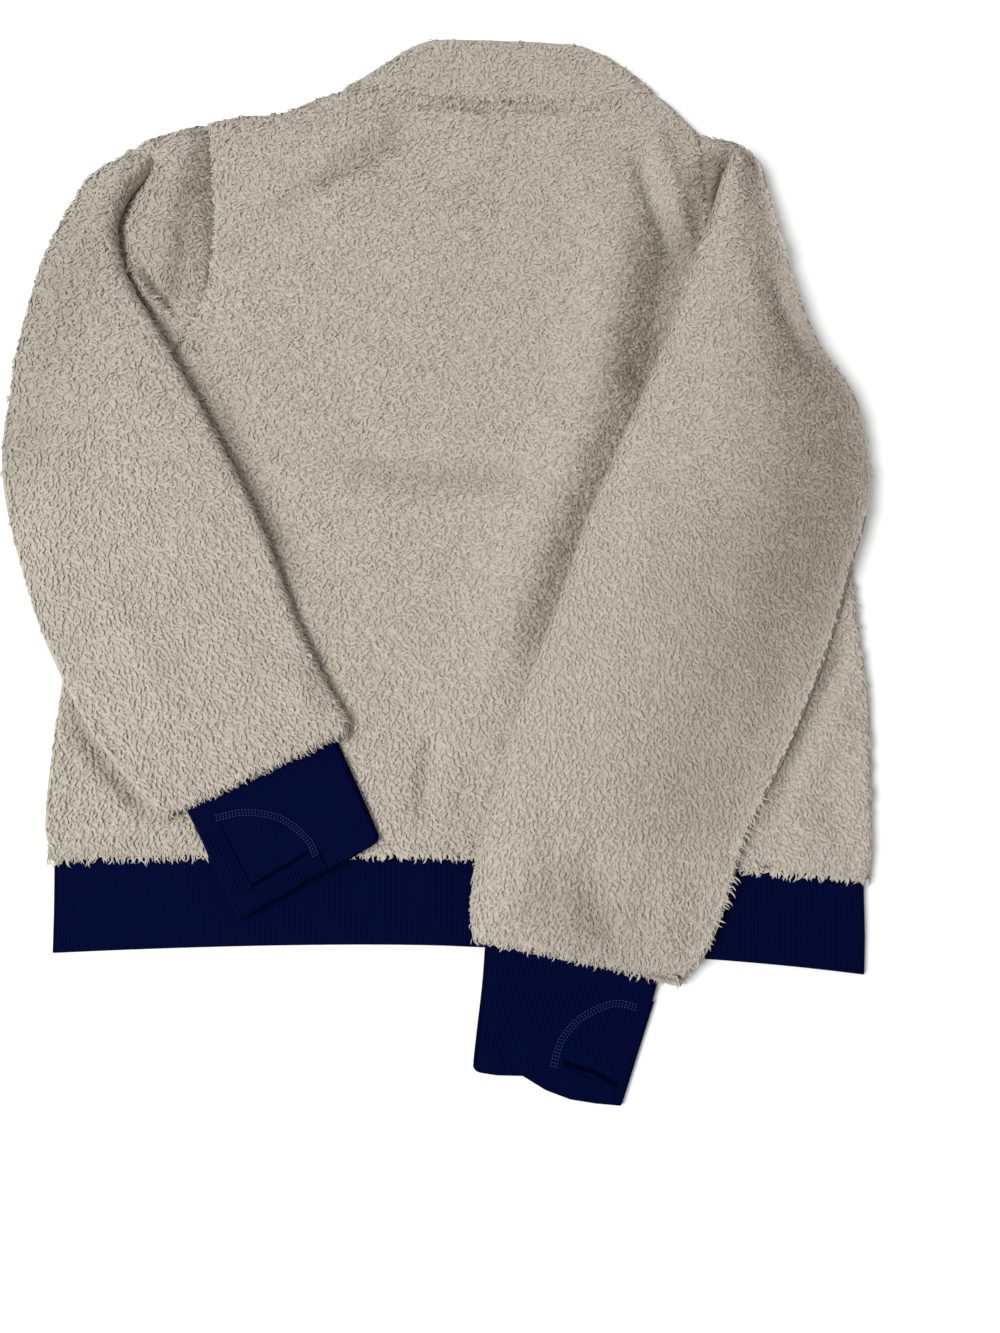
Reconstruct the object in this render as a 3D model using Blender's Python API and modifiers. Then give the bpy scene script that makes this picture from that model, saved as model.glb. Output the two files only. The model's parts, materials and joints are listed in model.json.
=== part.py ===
"""Sherpa fleece pullover, lying face down with both sleeves folded over its back.

The pullover has a stand collar, a knitted rib hem band and rib cuffs with a thumb patch.
Metres, +Z up. +Y runs from the hem to the collar and the back of the garment faces up.
The tables below are in millimetres, measured from the middle of the body, and the last
step moves the whole garment so that its origin is under the middle of its bounding box.
"""

import math
from collections import namedtuple

import bmesh
import bpy
from mathutils import Vector

MM = 0.001

# Cloth thickness and the clearances that keep the pieces apart.
FLEECE_WALL = 5.0
RIB_WALL = 2.3
PATCH_WALL = 1.0
PATCH_GAP = 0.9
SEAM_GAP = 0.3
ARMHOLE_GAP = 2.6
BACK_NECK_GAP = 2.0
FRONT_NECK_GAP = 3.6
LAYER_GAP = 0.8
DRAPE_CLEARANCE = 1.2

# Heights of the layers that lie on the table.
BODY_HEIGHT = 2 * FLEECE_WALL + LAYER_GAP
BODY_EDGE_RADIUS = BODY_HEIGHT / 2
HEM_SEAM_HEIGHT = 8.0
HEM_EDGE_HEIGHT = 2 * RIB_WALL + 0.8

# How far outside a lower layer a sleeve stays level, and then needs to come down.
LEVEL_MARGIN = 11.0
UNDER_FALL = 24.0
OVER_FALL = 40.0
HEM_FALL = 16.0

# The body's side seams, from the hem to the underarm.
Side = namedtuple("Side", "y left right")
BODY_SIDES = [
    Side(-119, -249, 259),
    Side(-98, -254, 264),
    Side(-60, -255, 265),
    Side(0, -256, 264),
    Side(60, -257, 258),
    Side(125, -257, 254),
    Side(185, -252, 250),
]

# Each armhole runs from the underarm to the shoulder point, hollowed towards the middle.
Armhole = namedtuple("Armhole", "under_x under_y shoulder_x shoulder_y hollow")
ARMHOLE_LEFT = Armhole(-252, 190, -201, 409, 42)
ARMHOLE_RIGHT = Armhole(250, 190, 152, 412, -36)
ARMHOLE_SKEW = 0.66
ARMHOLE_ROWS = 9

# The top edge of the back and of the front: shoulder, neck seam, shoulder.
TopPoint = namedtuple("TopPoint", "x back_y front_y")
TOP_EDGE = [
    TopPoint(-201, 409, 409),
    TopPoint(-150, 418, 418),
    TopPoint(-103, 440, 438),
    TopPoint(-76, 438, 410),
    TopPoint(-40, 434, 397),
    TopPoint(8, 431, 392),
    TopPoint(56, 435, 398),
    TopPoint(92, 441, 408),
    TopPoint(120, 446, 435),
    TopPoint(152, 412, 412),
]
NECK_LEFT, NECK_RIGHT = -103, 120
BODY_COLUMNS = 16

# Ridges in the cloth of the back: the largest folds, as they lie.
Fold = namedtuple("Fold", "start_x start_y end_x end_y half_width height")
BACK_FOLDS = [
    Fold(118, 418, 140, 325, 15, 7.0),
    Fold(-72, 424, -128, 388, 16, 3.5),
    Fold(-6, -52, -10, -100, 12, 3.0),
    Fold(60, 330, 84, 210, 34, 2.5),
]

# Collar, from the neck seam to its top edge: its two end folds and how the rows bow.
CollarRow = namedtuple("CollarRow", "left_x left_y right_x right_y bow sag")
COLLAR_ROWS = [
    CollarRow(-103, 444, 120, 450, 0.0, 0.0),
    CollarRow(-88, 456, 107, 462, 0.45, 1.0),
    CollarRow(-73, 468, 94, 472, 0.75, 2.5),
    CollarRow(-59, 478, 81, 480, 0.92, 4.0),
    CollarRow(-46, 484, 66, 484, 1.0, 5.0),
]
COLLAR_COLUMNS = 12
COLLAR_TOP_RISE = 2.0
COLLAR_FRONT_DROP = 48.0

# Hem band: its end folds at the seam and at its lower edge, and how the edges curve.
HemRow = namedtuple("HemRow", "left right middle_y left_fall right_fall height")
HEM_ROWS = [
    HemRow(-247, 257, -111, 12, 7, HEM_SEAM_HEIGHT),
    HemRow(-245, 257, -123, 12, 7, 6.8),
    HemRow(-243, 257, -140, 13, 7, HEM_EDGE_HEIGHT),
    HemRow(-241, 256, -160, 15, 7, HEM_EDGE_HEIGHT),
]
HEM_CURVE = 1.8
HEM_COLUMNS = 15

# A flattened tube is a list of rings. Each ring runs between two edge points.
Ring = namedtuple("Ring", "inner_x inner_y outer_x outer_y height")
SLEEVE_LEFT = [
    Ring(-234, 362, -252, 373, 11.5),
    Ring(-245, 342, -275, 353, 12.4),
    Ring(-252, 318, -290, 320, 13.0),
    Ring(-247, 292, -301, 283, 13.4),
    Ring(-233, 264, -306, 240, 13.4),
    Ring(-212, 232, -310, 197, 13.4),
    Ring(-187, 192, -310, 148, 13.4),
    Ring(-160, 148, -299, 98, 13.4),
    Ring(-132, 97, -277, 34, 13.4),
    Ring(-106, 38, -243, -27, 13.0),
    Ring(-82, -7, -208, -66, 13.2),
    Ring(-67, -28, -184, -86, 12.4),
    Ring(-66, -37, -173, -91, 11.0),
]
SLEEVE_RIGHT = [
    Ring(170, 372, 190, 386, 11.5),
    Ring(160, 344, 200, 360, 12.4),
    Ring(150, 314, 208, 328, 13.4),
    Ring(140, 284, 217, 290, 13.4),
    Ring(128, 244, 238, 246, 13.4),
    Ring(112, 200, 262, 202, 13.4),
    Ring(95, 157, 267, 142, 13.4),
    Ring(78, 112, 257, 88, 13.4),
    Ring(62, 58, 233, 26, 13.4),
    Ring(44, 6, 207, -33, 13.4),
    Ring(28, -55, 184, -87, 13.0),
    Ring(17, -106, 170, -134, 13.2),
    Ring(14, -142, 158, -164, 12.4),
    Ring(16, -160, 141, -183, 11.0),
]
SLEEVE_RINGS = 18
TUBE_COLUMNS = 8

# The sleeve head is the stretch of sleeve that still lies beside the armhole, under the
# fold. These are the points of its fold, from the underarm up to the shoulder.
HeadPoint = namedtuple("HeadPoint", "x y")
HEAD_FOLD_LEFT = [
    HeadPoint(-286, 214),
    HeadPoint(-288, 262),
    HeadPoint(-282, 308),
    HeadPoint(-270, 347),
    HeadPoint(-247, 382),
]
HEAD_FOLD_RIGHT = [
    HeadPoint(255, 216),
    HeadPoint(230, 254),
    HeadPoint(209, 302),
    HeadPoint(196, 350),
    HeadPoint(185, 394),
]
HEAD_RINGS = 5
HEAD_COLUMNS = 9

# Cuffs: inner edge, outer edge and height, from the sleeve to the open end.
CUFF_LEFT = [
    Ring(-67, -41, -161, -90, 7.0),
    Ring(-60, -60, -150, -110, 6.4),
    Ring(-51, -80, -138, -131, 6.0),
    Ring(-43, -100, -126, -152, 5.6),
]
CUFF_RIGHT = [
    Ring(24, -163.5, 131, -184, 7.0),
    Ring(23, -184, 126, -205, 6.4),
    Ring(21, -210, 118, -229, 6.0),
    Ring(19, -235, 111, -251, 5.6),
]
CUFF_RINGS = 5

# Thumb patch: a quarter circle whose corner stands off the cuff's outer and lower edges.
Patch = namedtuple("Patch", "corner_x corner_y radius along_x along_y turn")
PATCH_LEFT = Patch(-122.5, -132, 45, 0.848, 0.530, 1)
PATCH_RIGHT = Patch(108.5, -237.5, 45, -0.985, 0.171, -1)
PATCH_ARC_STEPS = 9
PATCH_RADIUS_STEPS = 4

FLEECE_COLOUR = (0.60, 0.54, 0.46, 1.0)
RIB_COLOUR = (0.004, 0.006, 0.045, 1.0)


def clear_scene():
    for obj in list(bpy.data.objects):
        bpy.data.objects.remove(obj, do_unlink=True)


def cloth_material(name, colour, roughness):
    material = bpy.data.materials.new(name)
    material.use_nodes = True
    shader = material.node_tree.nodes["Principled BSDF"]
    shader.inputs["Base Color"].default_value = colour
    shader.inputs["Roughness"].default_value = roughness
    shader.inputs["Metallic"].default_value = 0.0
    return material


def mix(a, b, share):
    return a + (b - a) * share


def smoothstep(share):
    share = min(max(share, 0.0), 1.0)
    return share * share * (3 - 2 * share)


def fall(distance, reach):
    """1 on the layer and just beside it, easing to 0 at reach outside that."""
    distance -= LEVEL_MARGIN
    if distance <= 0:
        return 1.0
    if distance >= reach:
        return 0.0
    return 0.5 * (1 + math.cos(math.pi * distance / reach))


def along_rows(rows, share):
    """The row at share on a smooth curve through rows, all columns at once."""
    last = len(rows) - 1
    span = min(int(last * share), last - 1)
    t = last * share - span
    before, start = rows[max(span - 1, 0)], rows[span]
    end, after = rows[span + 1], rows[min(span + 2, last)]
    values = [
        0.5
        * (
            2 * q
            + (r - p) * t
            + (2 * p - 5 * q + 4 * r - s) * t * t
            + (3 * q - p - 3 * r + s) * t**3
        )
        for p, q, r, s in zip(before, start, end, after)
    ]
    return type(rows[0])(*values)


def spline(rows, count):
    return [along_rows(rows, step / (count - 1)) for step in range(count)]


def curve_at(points, x):
    """The height at x of a smooth curve through (x, y) points in order of x."""
    for i in range(len(points) - 1):
        (x0, y0), (x1, y1) = points[i], points[i + 1]
        if x <= x1 or i == len(points) - 2:
            share = min(max((x - x0) / (x1 - x0), 0.0), 1.0)
            left = points[max(i - 1, 0)]
            right = points[min(i + 2, len(points) - 1)]
            width = x1 - x0
            slope0 = (y1 - left[1]) / max(x1 - left[0], 1e-6) * width
            slope1 = (right[1] - y0) / max(right[0] - x0, 1e-6) * width
            t, t2, t3 = share, share**2, share**3
            return (
                (2 * t3 - 3 * t2 + 1) * y0
                + (t3 - 2 * t2 + t) * slope0
                + (3 * t2 - 2 * t3) * y1
                + (t3 - t2) * slope1
            )
    return points[-1][1]


def back_top(x):
    return curve_at([(p.x, p.back_y) for p in TOP_EDGE], x)


def front_top(x):
    return curve_at([(p.x, p.front_y) for p in TOP_EDGE], x)


def hem_line(row, x):
    """Height at x of one of the hem band's rows."""
    edge = row.left if x < 0 else row.right
    drop = row.left_fall if x < 0 else row.right_fall
    return row.middle_y - drop * abs(x / edge) ** HEM_CURVE


def armhole_point(armhole, share):
    """The armhole's seam, from the underarm at 0 to the shoulder at 1."""
    hollow = armhole.hollow * math.sin(math.pi * share**ARMHOLE_SKEW)
    return (
        mix(armhole.under_x, armhole.shoulder_x, share) + hollow,
        mix(armhole.under_y, armhole.shoulder_y, share),
    )


def distance_outside(x, y, outline):
    """How far (x, y) is outside a closed outline, and 0 inside it."""
    inside = False
    nearest = 1e9
    for i, (x0, y0) in enumerate(outline):
        x1, y1 = outline[(i + 1) % len(outline)]
        if (y0 > y) != (y1 > y) and x < x0 + (y - y0) * (x1 - x0) / (y1 - y0):
            inside = not inside
        along = ((x - x0) * (x1 - x0) + (y - y0) * (y1 - y0)) / max(
            (x1 - x0) ** 2 + (y1 - y0) ** 2, 1e-9
        )
        along = min(max(along, 0.0), 1.0)
        gap = math.hypot(x - mix(x0, x1, along), y - mix(y0, y1, along))
        nearest = min(nearest, gap)
    return 0.0 if inside else nearest


def body_outline():
    """The body seen from above, without its sleeves, collar or hem band."""
    rights = [(side.right, side.y) for side in BODY_SIDES]
    lefts = [(side.left, side.y) for side in BODY_SIDES]
    steps = [i / 8 for i in range(1, 9)]
    right_armhole = [armhole_point(ARMHOLE_RIGHT, s) for s in steps]
    left_armhole = [armhole_point(ARMHOLE_LEFT, s) for s in steps]
    top = [(p.x, p.back_y) for p in reversed(TOP_EDGE[1:-1])]
    return rights + right_armhole + top + left_armhole[::-1] + lefts[::-1]


def hem_outline():
    top, bottom = HEM_ROWS[0], HEM_ROWS[-1]
    xs = [mix(top.left, top.right, i / 8) for i in range(9)]
    return [(x, hem_line(top, x)) for x in xs] + [
        (x, hem_line(bottom, x)) for x in xs[::-1]
    ]


def head_outline(armhole, fold):
    seam = [armhole_point(armhole, i / 8) for i in range(9)]
    return seam + [(point.x, point.y) for point in fold[::-1]]


def fold_height(x, y):
    """How far the folds of the back stand above its flat cloth."""
    height = 0.0
    for fold in BACK_FOLDS:
        dx, dy = fold.end_x - fold.start_x, fold.end_y - fold.start_y
        length = math.hypot(dx, dy)
        along = ((x - fold.start_x) * dx + (y - fold.start_y) * dy) / length**2
        across = ((x - fold.start_x) * dy - (y - fold.start_y) * dx) / length
        ends = smoothstep(along * 3 + 0.5) * smoothstep((1 - along) * 3 + 0.5)
        height += fold.height * ends * math.exp(-((across / fold.half_width) ** 2))
    return height


BODY_SHAPE = body_outline()
HEM_SHAPE = hem_outline()
HEAD_SHAPES = [
    head_outline(ARMHOLE_LEFT, HEAD_FOLD_LEFT),
    head_outline(ARMHOLE_RIGHT, HEAD_FOLD_RIGHT),
]


def layer_top(x, y, reach):
    """Top of what lies under a sleeve, eased down to the table within reach."""
    body = (BODY_HEIGHT + fold_height(x, y)) * fall(
        distance_outside(x, y, BODY_SHAPE), reach
    )
    heads = [
        BODY_HEIGHT * fall(distance_outside(x, y, shape), reach)
        for shape in HEAD_SHAPES
    ]
    band = HEM_SEAM_HEIGHT * fall(distance_outside(x, y, HEM_SHAPE), HEM_FALL)
    top = max(body, band, *heads)
    return top + DRAPE_CLEARANCE * min(top / 2, 1.0)


def seat_under(x, y):
    return layer_top(x, y, UNDER_FALL)


def seat_over(x, y):
    return max(layer_top(x, y, OVER_FALL), seat_under(x, y))


def table(_x, _y):
    return 0.0


def flat_ring(line, height, seats, swell=0.0):
    """A flattened ring along a line: across the top, round, and back underneath.

    line takes a share from 0 to 1 and returns a point on the table, with its length as
    line.length. seats are the two surfaces its underside and its top follow, and swell
    raises the middle of its top.
    """
    under, over = seats
    length = line.length
    radius = min(height / 2, length / 2.2)
    tops, bottoms = [], []
    for i in range(line.columns):
        share = mix(radius, length - radius, i / (line.columns - 1)) / length
        x, y = line.at(share)
        middle = 4 * share * (1 - share)
        tops.append(Vector((x, y, over(x, y) + height + swell * middle)))
        bottoms.append(Vector((x, y, under(x, y))))

    def end(share, direction, top, bottom):
        middle, half = (top.z + bottom.z) / 2, (top.z - bottom.z) / 2
        found = []
        for degrees in (45, 0, -45):
            angle = math.radians(degrees)
            reach = direction * radius * math.cos(angle) / length
            x, y = line.at(min(max(share + reach, 0.0), 1.0))
            found.append(Vector((x, y, middle + half * math.sin(angle))))
        return found

    far = end(1 - radius / length, 1, tops[-1], bottoms[-1])
    near = end(radius / length, -1, tops[0], bottoms[0])
    return tops + far + bottoms[::-1] + near[::-1]


Line = namedtuple("Line", "at length columns")


def straight(a, b, columns):
    """The straight line from a to b, for a ring with so many columns."""
    a, b = Vector(a), Vector(b)
    return Line(lambda share: a.lerp(b, share), (b - a).length, columns)


def loft(name, rings, closed_start=False):
    """An open tube through the rings, with an end wall at its start if asked."""
    bm = bmesh.new()
    rows = [[bm.verts.new(point * MM) for point in ring] for ring in rings]
    for row, after in zip(rows, rows[1:]):
        for i in range(len(row)):
            j = (i + 1) % len(row)
            bm.faces.new((row[i], row[j], after[j], after[i]))
    if closed_start:
        ring = rows[0]
        half = len(ring) // 2
        top, far = ring[: half - 3], ring[half - 3 : half]
        bottom, near = ring[half:-3][::-1], ring[-3:]
        for i in range(len(top) - 1):
            bm.faces.new((top[i], top[i + 1], bottom[i + 1], bottom[i]))
        bm.faces.new((top[-1], *far, bottom[-1]))
        bm.faces.new((bottom[0], *near, top[0]))
    return finished_mesh(name, bm)


def finished_mesh(name, bm):
    bmesh.ops.recalc_face_normals(bm, faces=bm.faces)
    mesh = bpy.data.meshes.new(name)
    bm.to_mesh(mesh)
    bm.free()
    mesh.shade_smooth()
    mesh.set_sharp_from_angle(angle=math.radians(50))
    return mesh


def cloth_piece(name, mesh, wall, material, collection):
    """An object of the mesh; an open surface gets its cloth laid inwards from it."""
    obj = bpy.data.objects.new(name, mesh)
    mesh.materials.append(material)
    collection.objects.link(obj)
    if wall:
        cloth = obj.modifiers.new("cloth thickness", "SOLIDIFY")
        cloth.thickness = wall * MM
        cloth.offset = -1.0
    return obj


def body_rows():
    """Left and right ends of the body's rows, from the hem to the shoulders.

    Each row also says how far its ends round down to the side seam, 1 at the sides and 0
    at the armholes, and how far it takes the shape of the top edge.
    """
    Row = namedtuple("Row", "left_x left_y right_x right_y rounding rise")
    hem, *sides = BODY_SIDES
    rows = [
        Row(side.left, side.y, side.right, side.y, 1.0, 0.0)
        for side in [hem, *spline(sides, 8)]
    ]
    for step in range(1, ARMHOLE_ROWS):
        share = step / (ARMHOLE_ROWS - 1)
        left = armhole_point(ARMHOLE_LEFT, share)
        right = armhole_point(ARMHOLE_RIGHT, share)
        rise = max((share - 0.3) / 0.7, 0.0) ** 1.6
        rounding = 1.0 if share == 1 else 0.0
        rows.append(Row(*left, *right, rounding, rise))
    return rows


def panel_point(row, edges, turns, place, top_edge, inset):
    """One point of a panel's outer surface, or of the surface inset below it.

    turns are the angles of the rounded side and top edges here, 90 on the flat, and place
    runs from 0 to 1 between the two sides' roundings.
    """
    side_turn, top_turn = [math.radians(turn) for turn in turns]
    half = BODY_EDGE_RADIUS - SEAM_GAP / 2
    length = row.right_x - row.left_x

    def edge_inset(turn, depth, rounding):
        cut = depth * rounding
        return cut + (BODY_EDGE_RADIUS - cut) * (1 - math.cos(turn))

    side = edge_inset(side_turn, inset, row.rounding)
    flat = mix(BODY_EDGE_RADIUS, length - BODY_EDGE_RADIUS, place)
    distance = {-1: side, 0: flat, 1: length - side}[edges]
    share = distance / length
    x = row.left_x + distance
    y = mix(row.left_y, row.right_y, share)
    top_x = mix(TOP_EDGE[0].x, TOP_EDGE[-1].x, share)
    shoulders = mix(ARMHOLE_LEFT.shoulder_y, ARMHOLE_RIGHT.shoulder_y, share)
    y += row.rise * (top_edge(top_x) - shoulders)
    rounding = row.rounding if edges else 0.0
    turn = side_turn
    if row.rise == 1:
        on_shoulder = 0.0 if NECK_LEFT < top_x < NECK_RIGHT else 1.0
        y -= edge_inset(top_turn, inset, on_shoulder)
        rounding = max(rounding, on_shoulder)
        turn = min(side_turn, top_turn)
    drop = (half - inset) * (1 - math.sin(turn)) * rounding
    return x, y, BODY_HEIGHT - inset - drop


def panel(name, top_edge, upper):
    """The front or the back: a cloth shell with its sides and shoulders rounded down."""
    rows = body_rows()
    turned = [(row, 90) for row in rows] + [(rows[-1], 45), (rows[-1], 0)]
    columns = [(-1, 0, 0.0), (-1, 45, 0.0)]
    columns += [(0, 90, i / (BODY_COLUMNS - 1)) for i in range(BODY_COLUMNS)]
    columns += [(1, 45, 1.0), (1, 0, 1.0)]
    surfaces = []
    for inset in (0.0, FLEECE_WALL):
        grid = []
        for row, top_turn in turned:
            line = []
            for edges, side_turn, place in columns:
                turns = (side_turn, top_turn)
                x, y, z = panel_point(row, edges, turns, place, top_edge, inset)
                if row is rows[0]:
                    y = hem_line(HEM_ROWS[0], x) + SEAM_GAP
                if not upper:
                    z = BODY_HEIGHT - z
                elif side_turn == 90 and top_turn == 90:
                    z += fold_height(x, y)
                line.append(Vector((x, y, z)))
            grid.append(line)
        surfaces.append(grid)
    return shell(name, *surfaces)


def shell(name, outer, inner):
    """A closed cloth shell between two grids of points, with a rim round its edge."""
    bm = bmesh.new()
    sheets = [
        [[bm.verts.new(point * MM) for point in row] for row in grid]
        for grid in (outer, inner)
    ]
    for rows in sheets:
        for row, after in zip(rows, rows[1:]):
            for i in range(len(row) - 1):
                bm.faces.new((row[i], row[i + 1], after[i + 1], after[i]))
    rims = []
    for rows in sheets:
        right = [row[-1] for row in rows[1:]]
        left = [row[0] for row in rows[-2:0:-1]]
        rims.append(rows[0] + right + rows[-1][-2::-1] + left)
    for i in range(len(rims[0])):
        j = (i + 1) % len(rims[0])
        bm.faces.new((rims[0][i], rims[1][i], rims[1][j], rims[0][j]))
    return finished_mesh(name, bm)


def sleeve(name, rings):
    """The length of a sleeve that is folded over the back, open towards its cuff."""
    made = tube_rings(spline(rings, SLEEVE_RINGS), swell=0.5)
    return loft(name, made, closed_start=True)


def sleeve_head(name, armhole, fold):
    """The head of a sleeve, from the armhole seam out to the fold."""
    outward = math.copysign(ARMHOLE_GAP, -armhole.hollow)
    def between(out):
        def at(share):
            seam = Vector(armhole_point(armhole, share)) + Vector((outward, 0))
            return seam.lerp(Vector(along_rows(fold, share)), out)

        return at

    made = []
    for i in range(HEAD_RINGS):
        at = between(i / (HEAD_RINGS - 1))
        line = Line(at, (at(1.0) - at(0.0)).length, HEAD_COLUMNS)
        made.append(flat_ring(line, BODY_HEIGHT, (table, table)))
    return loft(name, made[::-1], closed_start=True)


def collar(name):
    """The stand collar: its back half on top and its lower front half underneath."""
    made = []
    for row in spline(COLLAR_ROWS, 6):
        left, right = (row.left_x, row.left_y), (row.right_x, row.right_y)
        line = straight(left, right, COLLAR_COLUMNS)
        ring = flat_ring(line, BODY_HEIGHT, (table, table))
        for i, point in enumerate(ring):
            share = (point.x - left[0]) / (right[0] - left[0])
            share = min(max(share, 0.0), 1.0)
            level = mix(left[1], right[1], share)
            middle = 4 * share * (1 - share)
            neck_x = mix(NECK_LEFT, NECK_RIGHT, share)
            if i < COLLAR_COLUMNS:
                seam = back_top(neck_x) + BACK_NECK_GAP - level
                rim = COLLAR_TOP_RISE * middle
                point.z -= row.sag * middle
            elif COLLAR_COLUMNS + 3 <= i < 2 * COLLAR_COLUMNS + 3:
                seam = front_top(neck_x) + FRONT_NECK_GAP - level
                rim = -COLLAR_FRONT_DROP * math.sqrt(middle)
            else:
                continue
            point.y += mix(seam, rim, row.bow)
        made.append(ring)
    return loft(name, made)


def hem_band(name):
    """The rib band below the fleece, a flat tube round the whole hem."""
    made = []
    for row in spline(HEM_ROWS, 6):
        line = straight((row.left, 0), (row.right, 0), HEM_COLUMNS)
        ring = flat_ring(line, row.height, (table, table))
        for point in ring:
            point.y = hem_line(row, point.x)
        made.append(ring)
    return loft(name, made)


def tube_rings(rings, swell=0.0):
    """The rings of a flattened tube that rests on the layers below it."""
    made = []
    for ring in rings:
        ends = (ring.inner_x, ring.inner_y), (ring.outer_x, ring.outer_y)
        line = straight(*ends, TUBE_COLUMNS)
        made.append(flat_ring(line, ring.height, (seat_under, seat_over), swell))
    return made


def cuff_top(rings, x, y):
    """Height of a cuff's upper face above (x, y), read from its own rings."""
    nearest = sorted(
        (math.hypot(point.x - x, point.y - y), point.z)
        for ring in rings
        for point in ring[:TUBE_COLUMNS]
    )[:4]
    weights = [1 / (distance + 0.5) ** 2 for distance, _ in nearest]
    return sum(w * z for w, (_, z) in zip(weights, nearest)) / sum(weights)


def thumb_patch(name, patch, rings):
    """A quarter circle of rib that follows the cuff's upper face, just clear of it."""
    along = Vector((patch.along_x, patch.along_y)).normalized()
    up = Vector((-along.y, along.x)) * patch.turn
    corner = Vector((patch.corner_x, patch.corner_y))
    clear = PATCH_WALL + PATCH_GAP
    bm = bmesh.new()

    def vertex(distance, turn):
        x, y = corner + (along * math.cos(turn) + up * math.sin(turn)) * distance
        return bm.verts.new(Vector((x, y, cuff_top(rings, x, y) + clear)) * MM)

    turns = [math.pi / 2 * i / PATCH_ARC_STEPS for i in range(PATCH_ARC_STEPS + 1)]
    centre = vertex(0.0, 0.0)
    arcs = [
        [vertex(patch.radius * (k + 1) / PATCH_RADIUS_STEPS, turn) for turn in turns]
        for k in range(PATCH_RADIUS_STEPS)
    ]
    for i in range(PATCH_ARC_STEPS):
        bm.faces.new((centre, arcs[0][i], arcs[0][i + 1]))
    for arc, after in zip(arcs, arcs[1:]):
        for i in range(PATCH_ARC_STEPS):
            bm.faces.new((arc[i], after[i], after[i + 1], arc[i + 1]))
    if patch.turn < 0:
        bmesh.ops.reverse_faces(bm, faces=bm.faces)
    mesh = bpy.data.meshes.new(name)
    bm.to_mesh(mesh)
    bm.free()
    return mesh


def centre_on_box(objects):
    """Moves the garment so that the origin is under the middle of its box."""
    bpy.context.view_layer.update()
    graph = bpy.context.evaluated_depsgraph_get()
    corners = [
        Vector(corner) for obj in objects for corner in obj.evaluated_get(graph).bound_box
    ]
    low = Vector([min(c[k] for c in corners) for k in range(3)])
    high = Vector([max(c[k] for c in corners) for k in range(3)])
    shift = Vector((-(low.x + high.x) / 2, -(low.y + high.y) / 2, -low.z))
    for obj in objects:
        obj.location = shift


def main():
    clear_scene()
    collection = bpy.data.collections.new("sherpa_pullover")
    bpy.context.scene.collection.children.link(collection)
    fleece = cloth_material("fleece", FLEECE_COLOUR, 0.95)
    rib = cloth_material("rib", RIB_COLOUR, 0.85)

    pieces = [
        ("front_panel", panel("front_panel", front_top, False), 0.0, fleece),
        ("back_panel", panel("back_panel", back_top, True), 0.0, fleece),
        ("collar", collar("collar"), FLEECE_WALL, fleece),
        ("hem_band", hem_band("hem_band"), RIB_WALL, rib),
    ]
    for side, rings, armhole, fold, cuff, patch in (
        (
            "left",
            SLEEVE_LEFT,
            ARMHOLE_LEFT,
            HEAD_FOLD_LEFT,
            CUFF_LEFT,
            PATCH_LEFT,
        ),
        (
            "right",
            SLEEVE_RIGHT,
            ARMHOLE_RIGHT,
            HEAD_FOLD_RIGHT,
            CUFF_RIGHT,
            PATCH_RIGHT,
        ),
    ):
        cuff_lines = tube_rings(spline(cuff, CUFF_RINGS))
        name = f"sleeve_{side}"
        pieces.append((name, sleeve(name, rings), FLEECE_WALL, fleece))
        name = f"sleeve_head_{side}"
        mesh = sleeve_head(name, armhole, fold)
        pieces.append((name, mesh, FLEECE_WALL, fleece))
        name = f"cuff_{side}"
        pieces.append((name, loft(name, cuff_lines), RIB_WALL, rib))
        name = f"thumb_patch_{side}"
        mesh = thumb_patch(name, patch, cuff_lines)
        pieces.append((name, mesh, PATCH_WALL, rib))

    made = [
        cloth_piece(name, mesh, wall, material, collection)
        for name, mesh, wall, material in pieces
    ]
    centre_on_box(made)


main()
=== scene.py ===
"""Sherpa fleece pullover laid face down, with both sleeves folded over its back.

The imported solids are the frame. Every cloth piece is made again here as a fine shell with
its folds, and the fleece then gets its pile, curl by curl. Tables are in millimetres from
the middle of the body, +X to the right, +Y from the hem to the collar, +Z up.
"""

import json
import math
from collections import namedtuple

import bmesh
import bpy
import numpy as np
from mathutils import Matrix, Vector

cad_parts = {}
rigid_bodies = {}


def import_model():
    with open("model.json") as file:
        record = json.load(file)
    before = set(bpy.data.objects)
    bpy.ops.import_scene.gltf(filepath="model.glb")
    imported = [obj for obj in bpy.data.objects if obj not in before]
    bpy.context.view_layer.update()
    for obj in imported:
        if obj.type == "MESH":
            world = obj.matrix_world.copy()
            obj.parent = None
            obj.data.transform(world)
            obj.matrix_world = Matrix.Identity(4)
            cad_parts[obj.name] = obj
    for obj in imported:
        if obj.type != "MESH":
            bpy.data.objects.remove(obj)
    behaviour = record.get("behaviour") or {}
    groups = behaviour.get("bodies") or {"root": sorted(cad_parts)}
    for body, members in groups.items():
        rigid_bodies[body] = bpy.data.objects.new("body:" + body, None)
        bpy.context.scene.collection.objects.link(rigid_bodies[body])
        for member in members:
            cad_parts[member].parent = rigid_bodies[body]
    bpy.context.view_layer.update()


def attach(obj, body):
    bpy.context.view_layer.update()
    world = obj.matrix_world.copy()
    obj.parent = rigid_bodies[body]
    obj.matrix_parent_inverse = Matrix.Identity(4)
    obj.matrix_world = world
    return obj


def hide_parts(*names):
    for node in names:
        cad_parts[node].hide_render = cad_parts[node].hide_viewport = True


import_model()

MM = 0.001
BODY_MIDDLE = np.array([22.2, -117.5, 0.0])

# Heights above the table: the back's upper side, the edge where back and front meet, the
# hem band's upper side, and the least height of any cloth and of rib.
BODY_HEIGHT = 9.6
SEAM_HEIGHT = 5.1
BAND_HEIGHT = 7.6
TABLE_GAP = 0.3
RIB_GAP = 0.5
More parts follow.
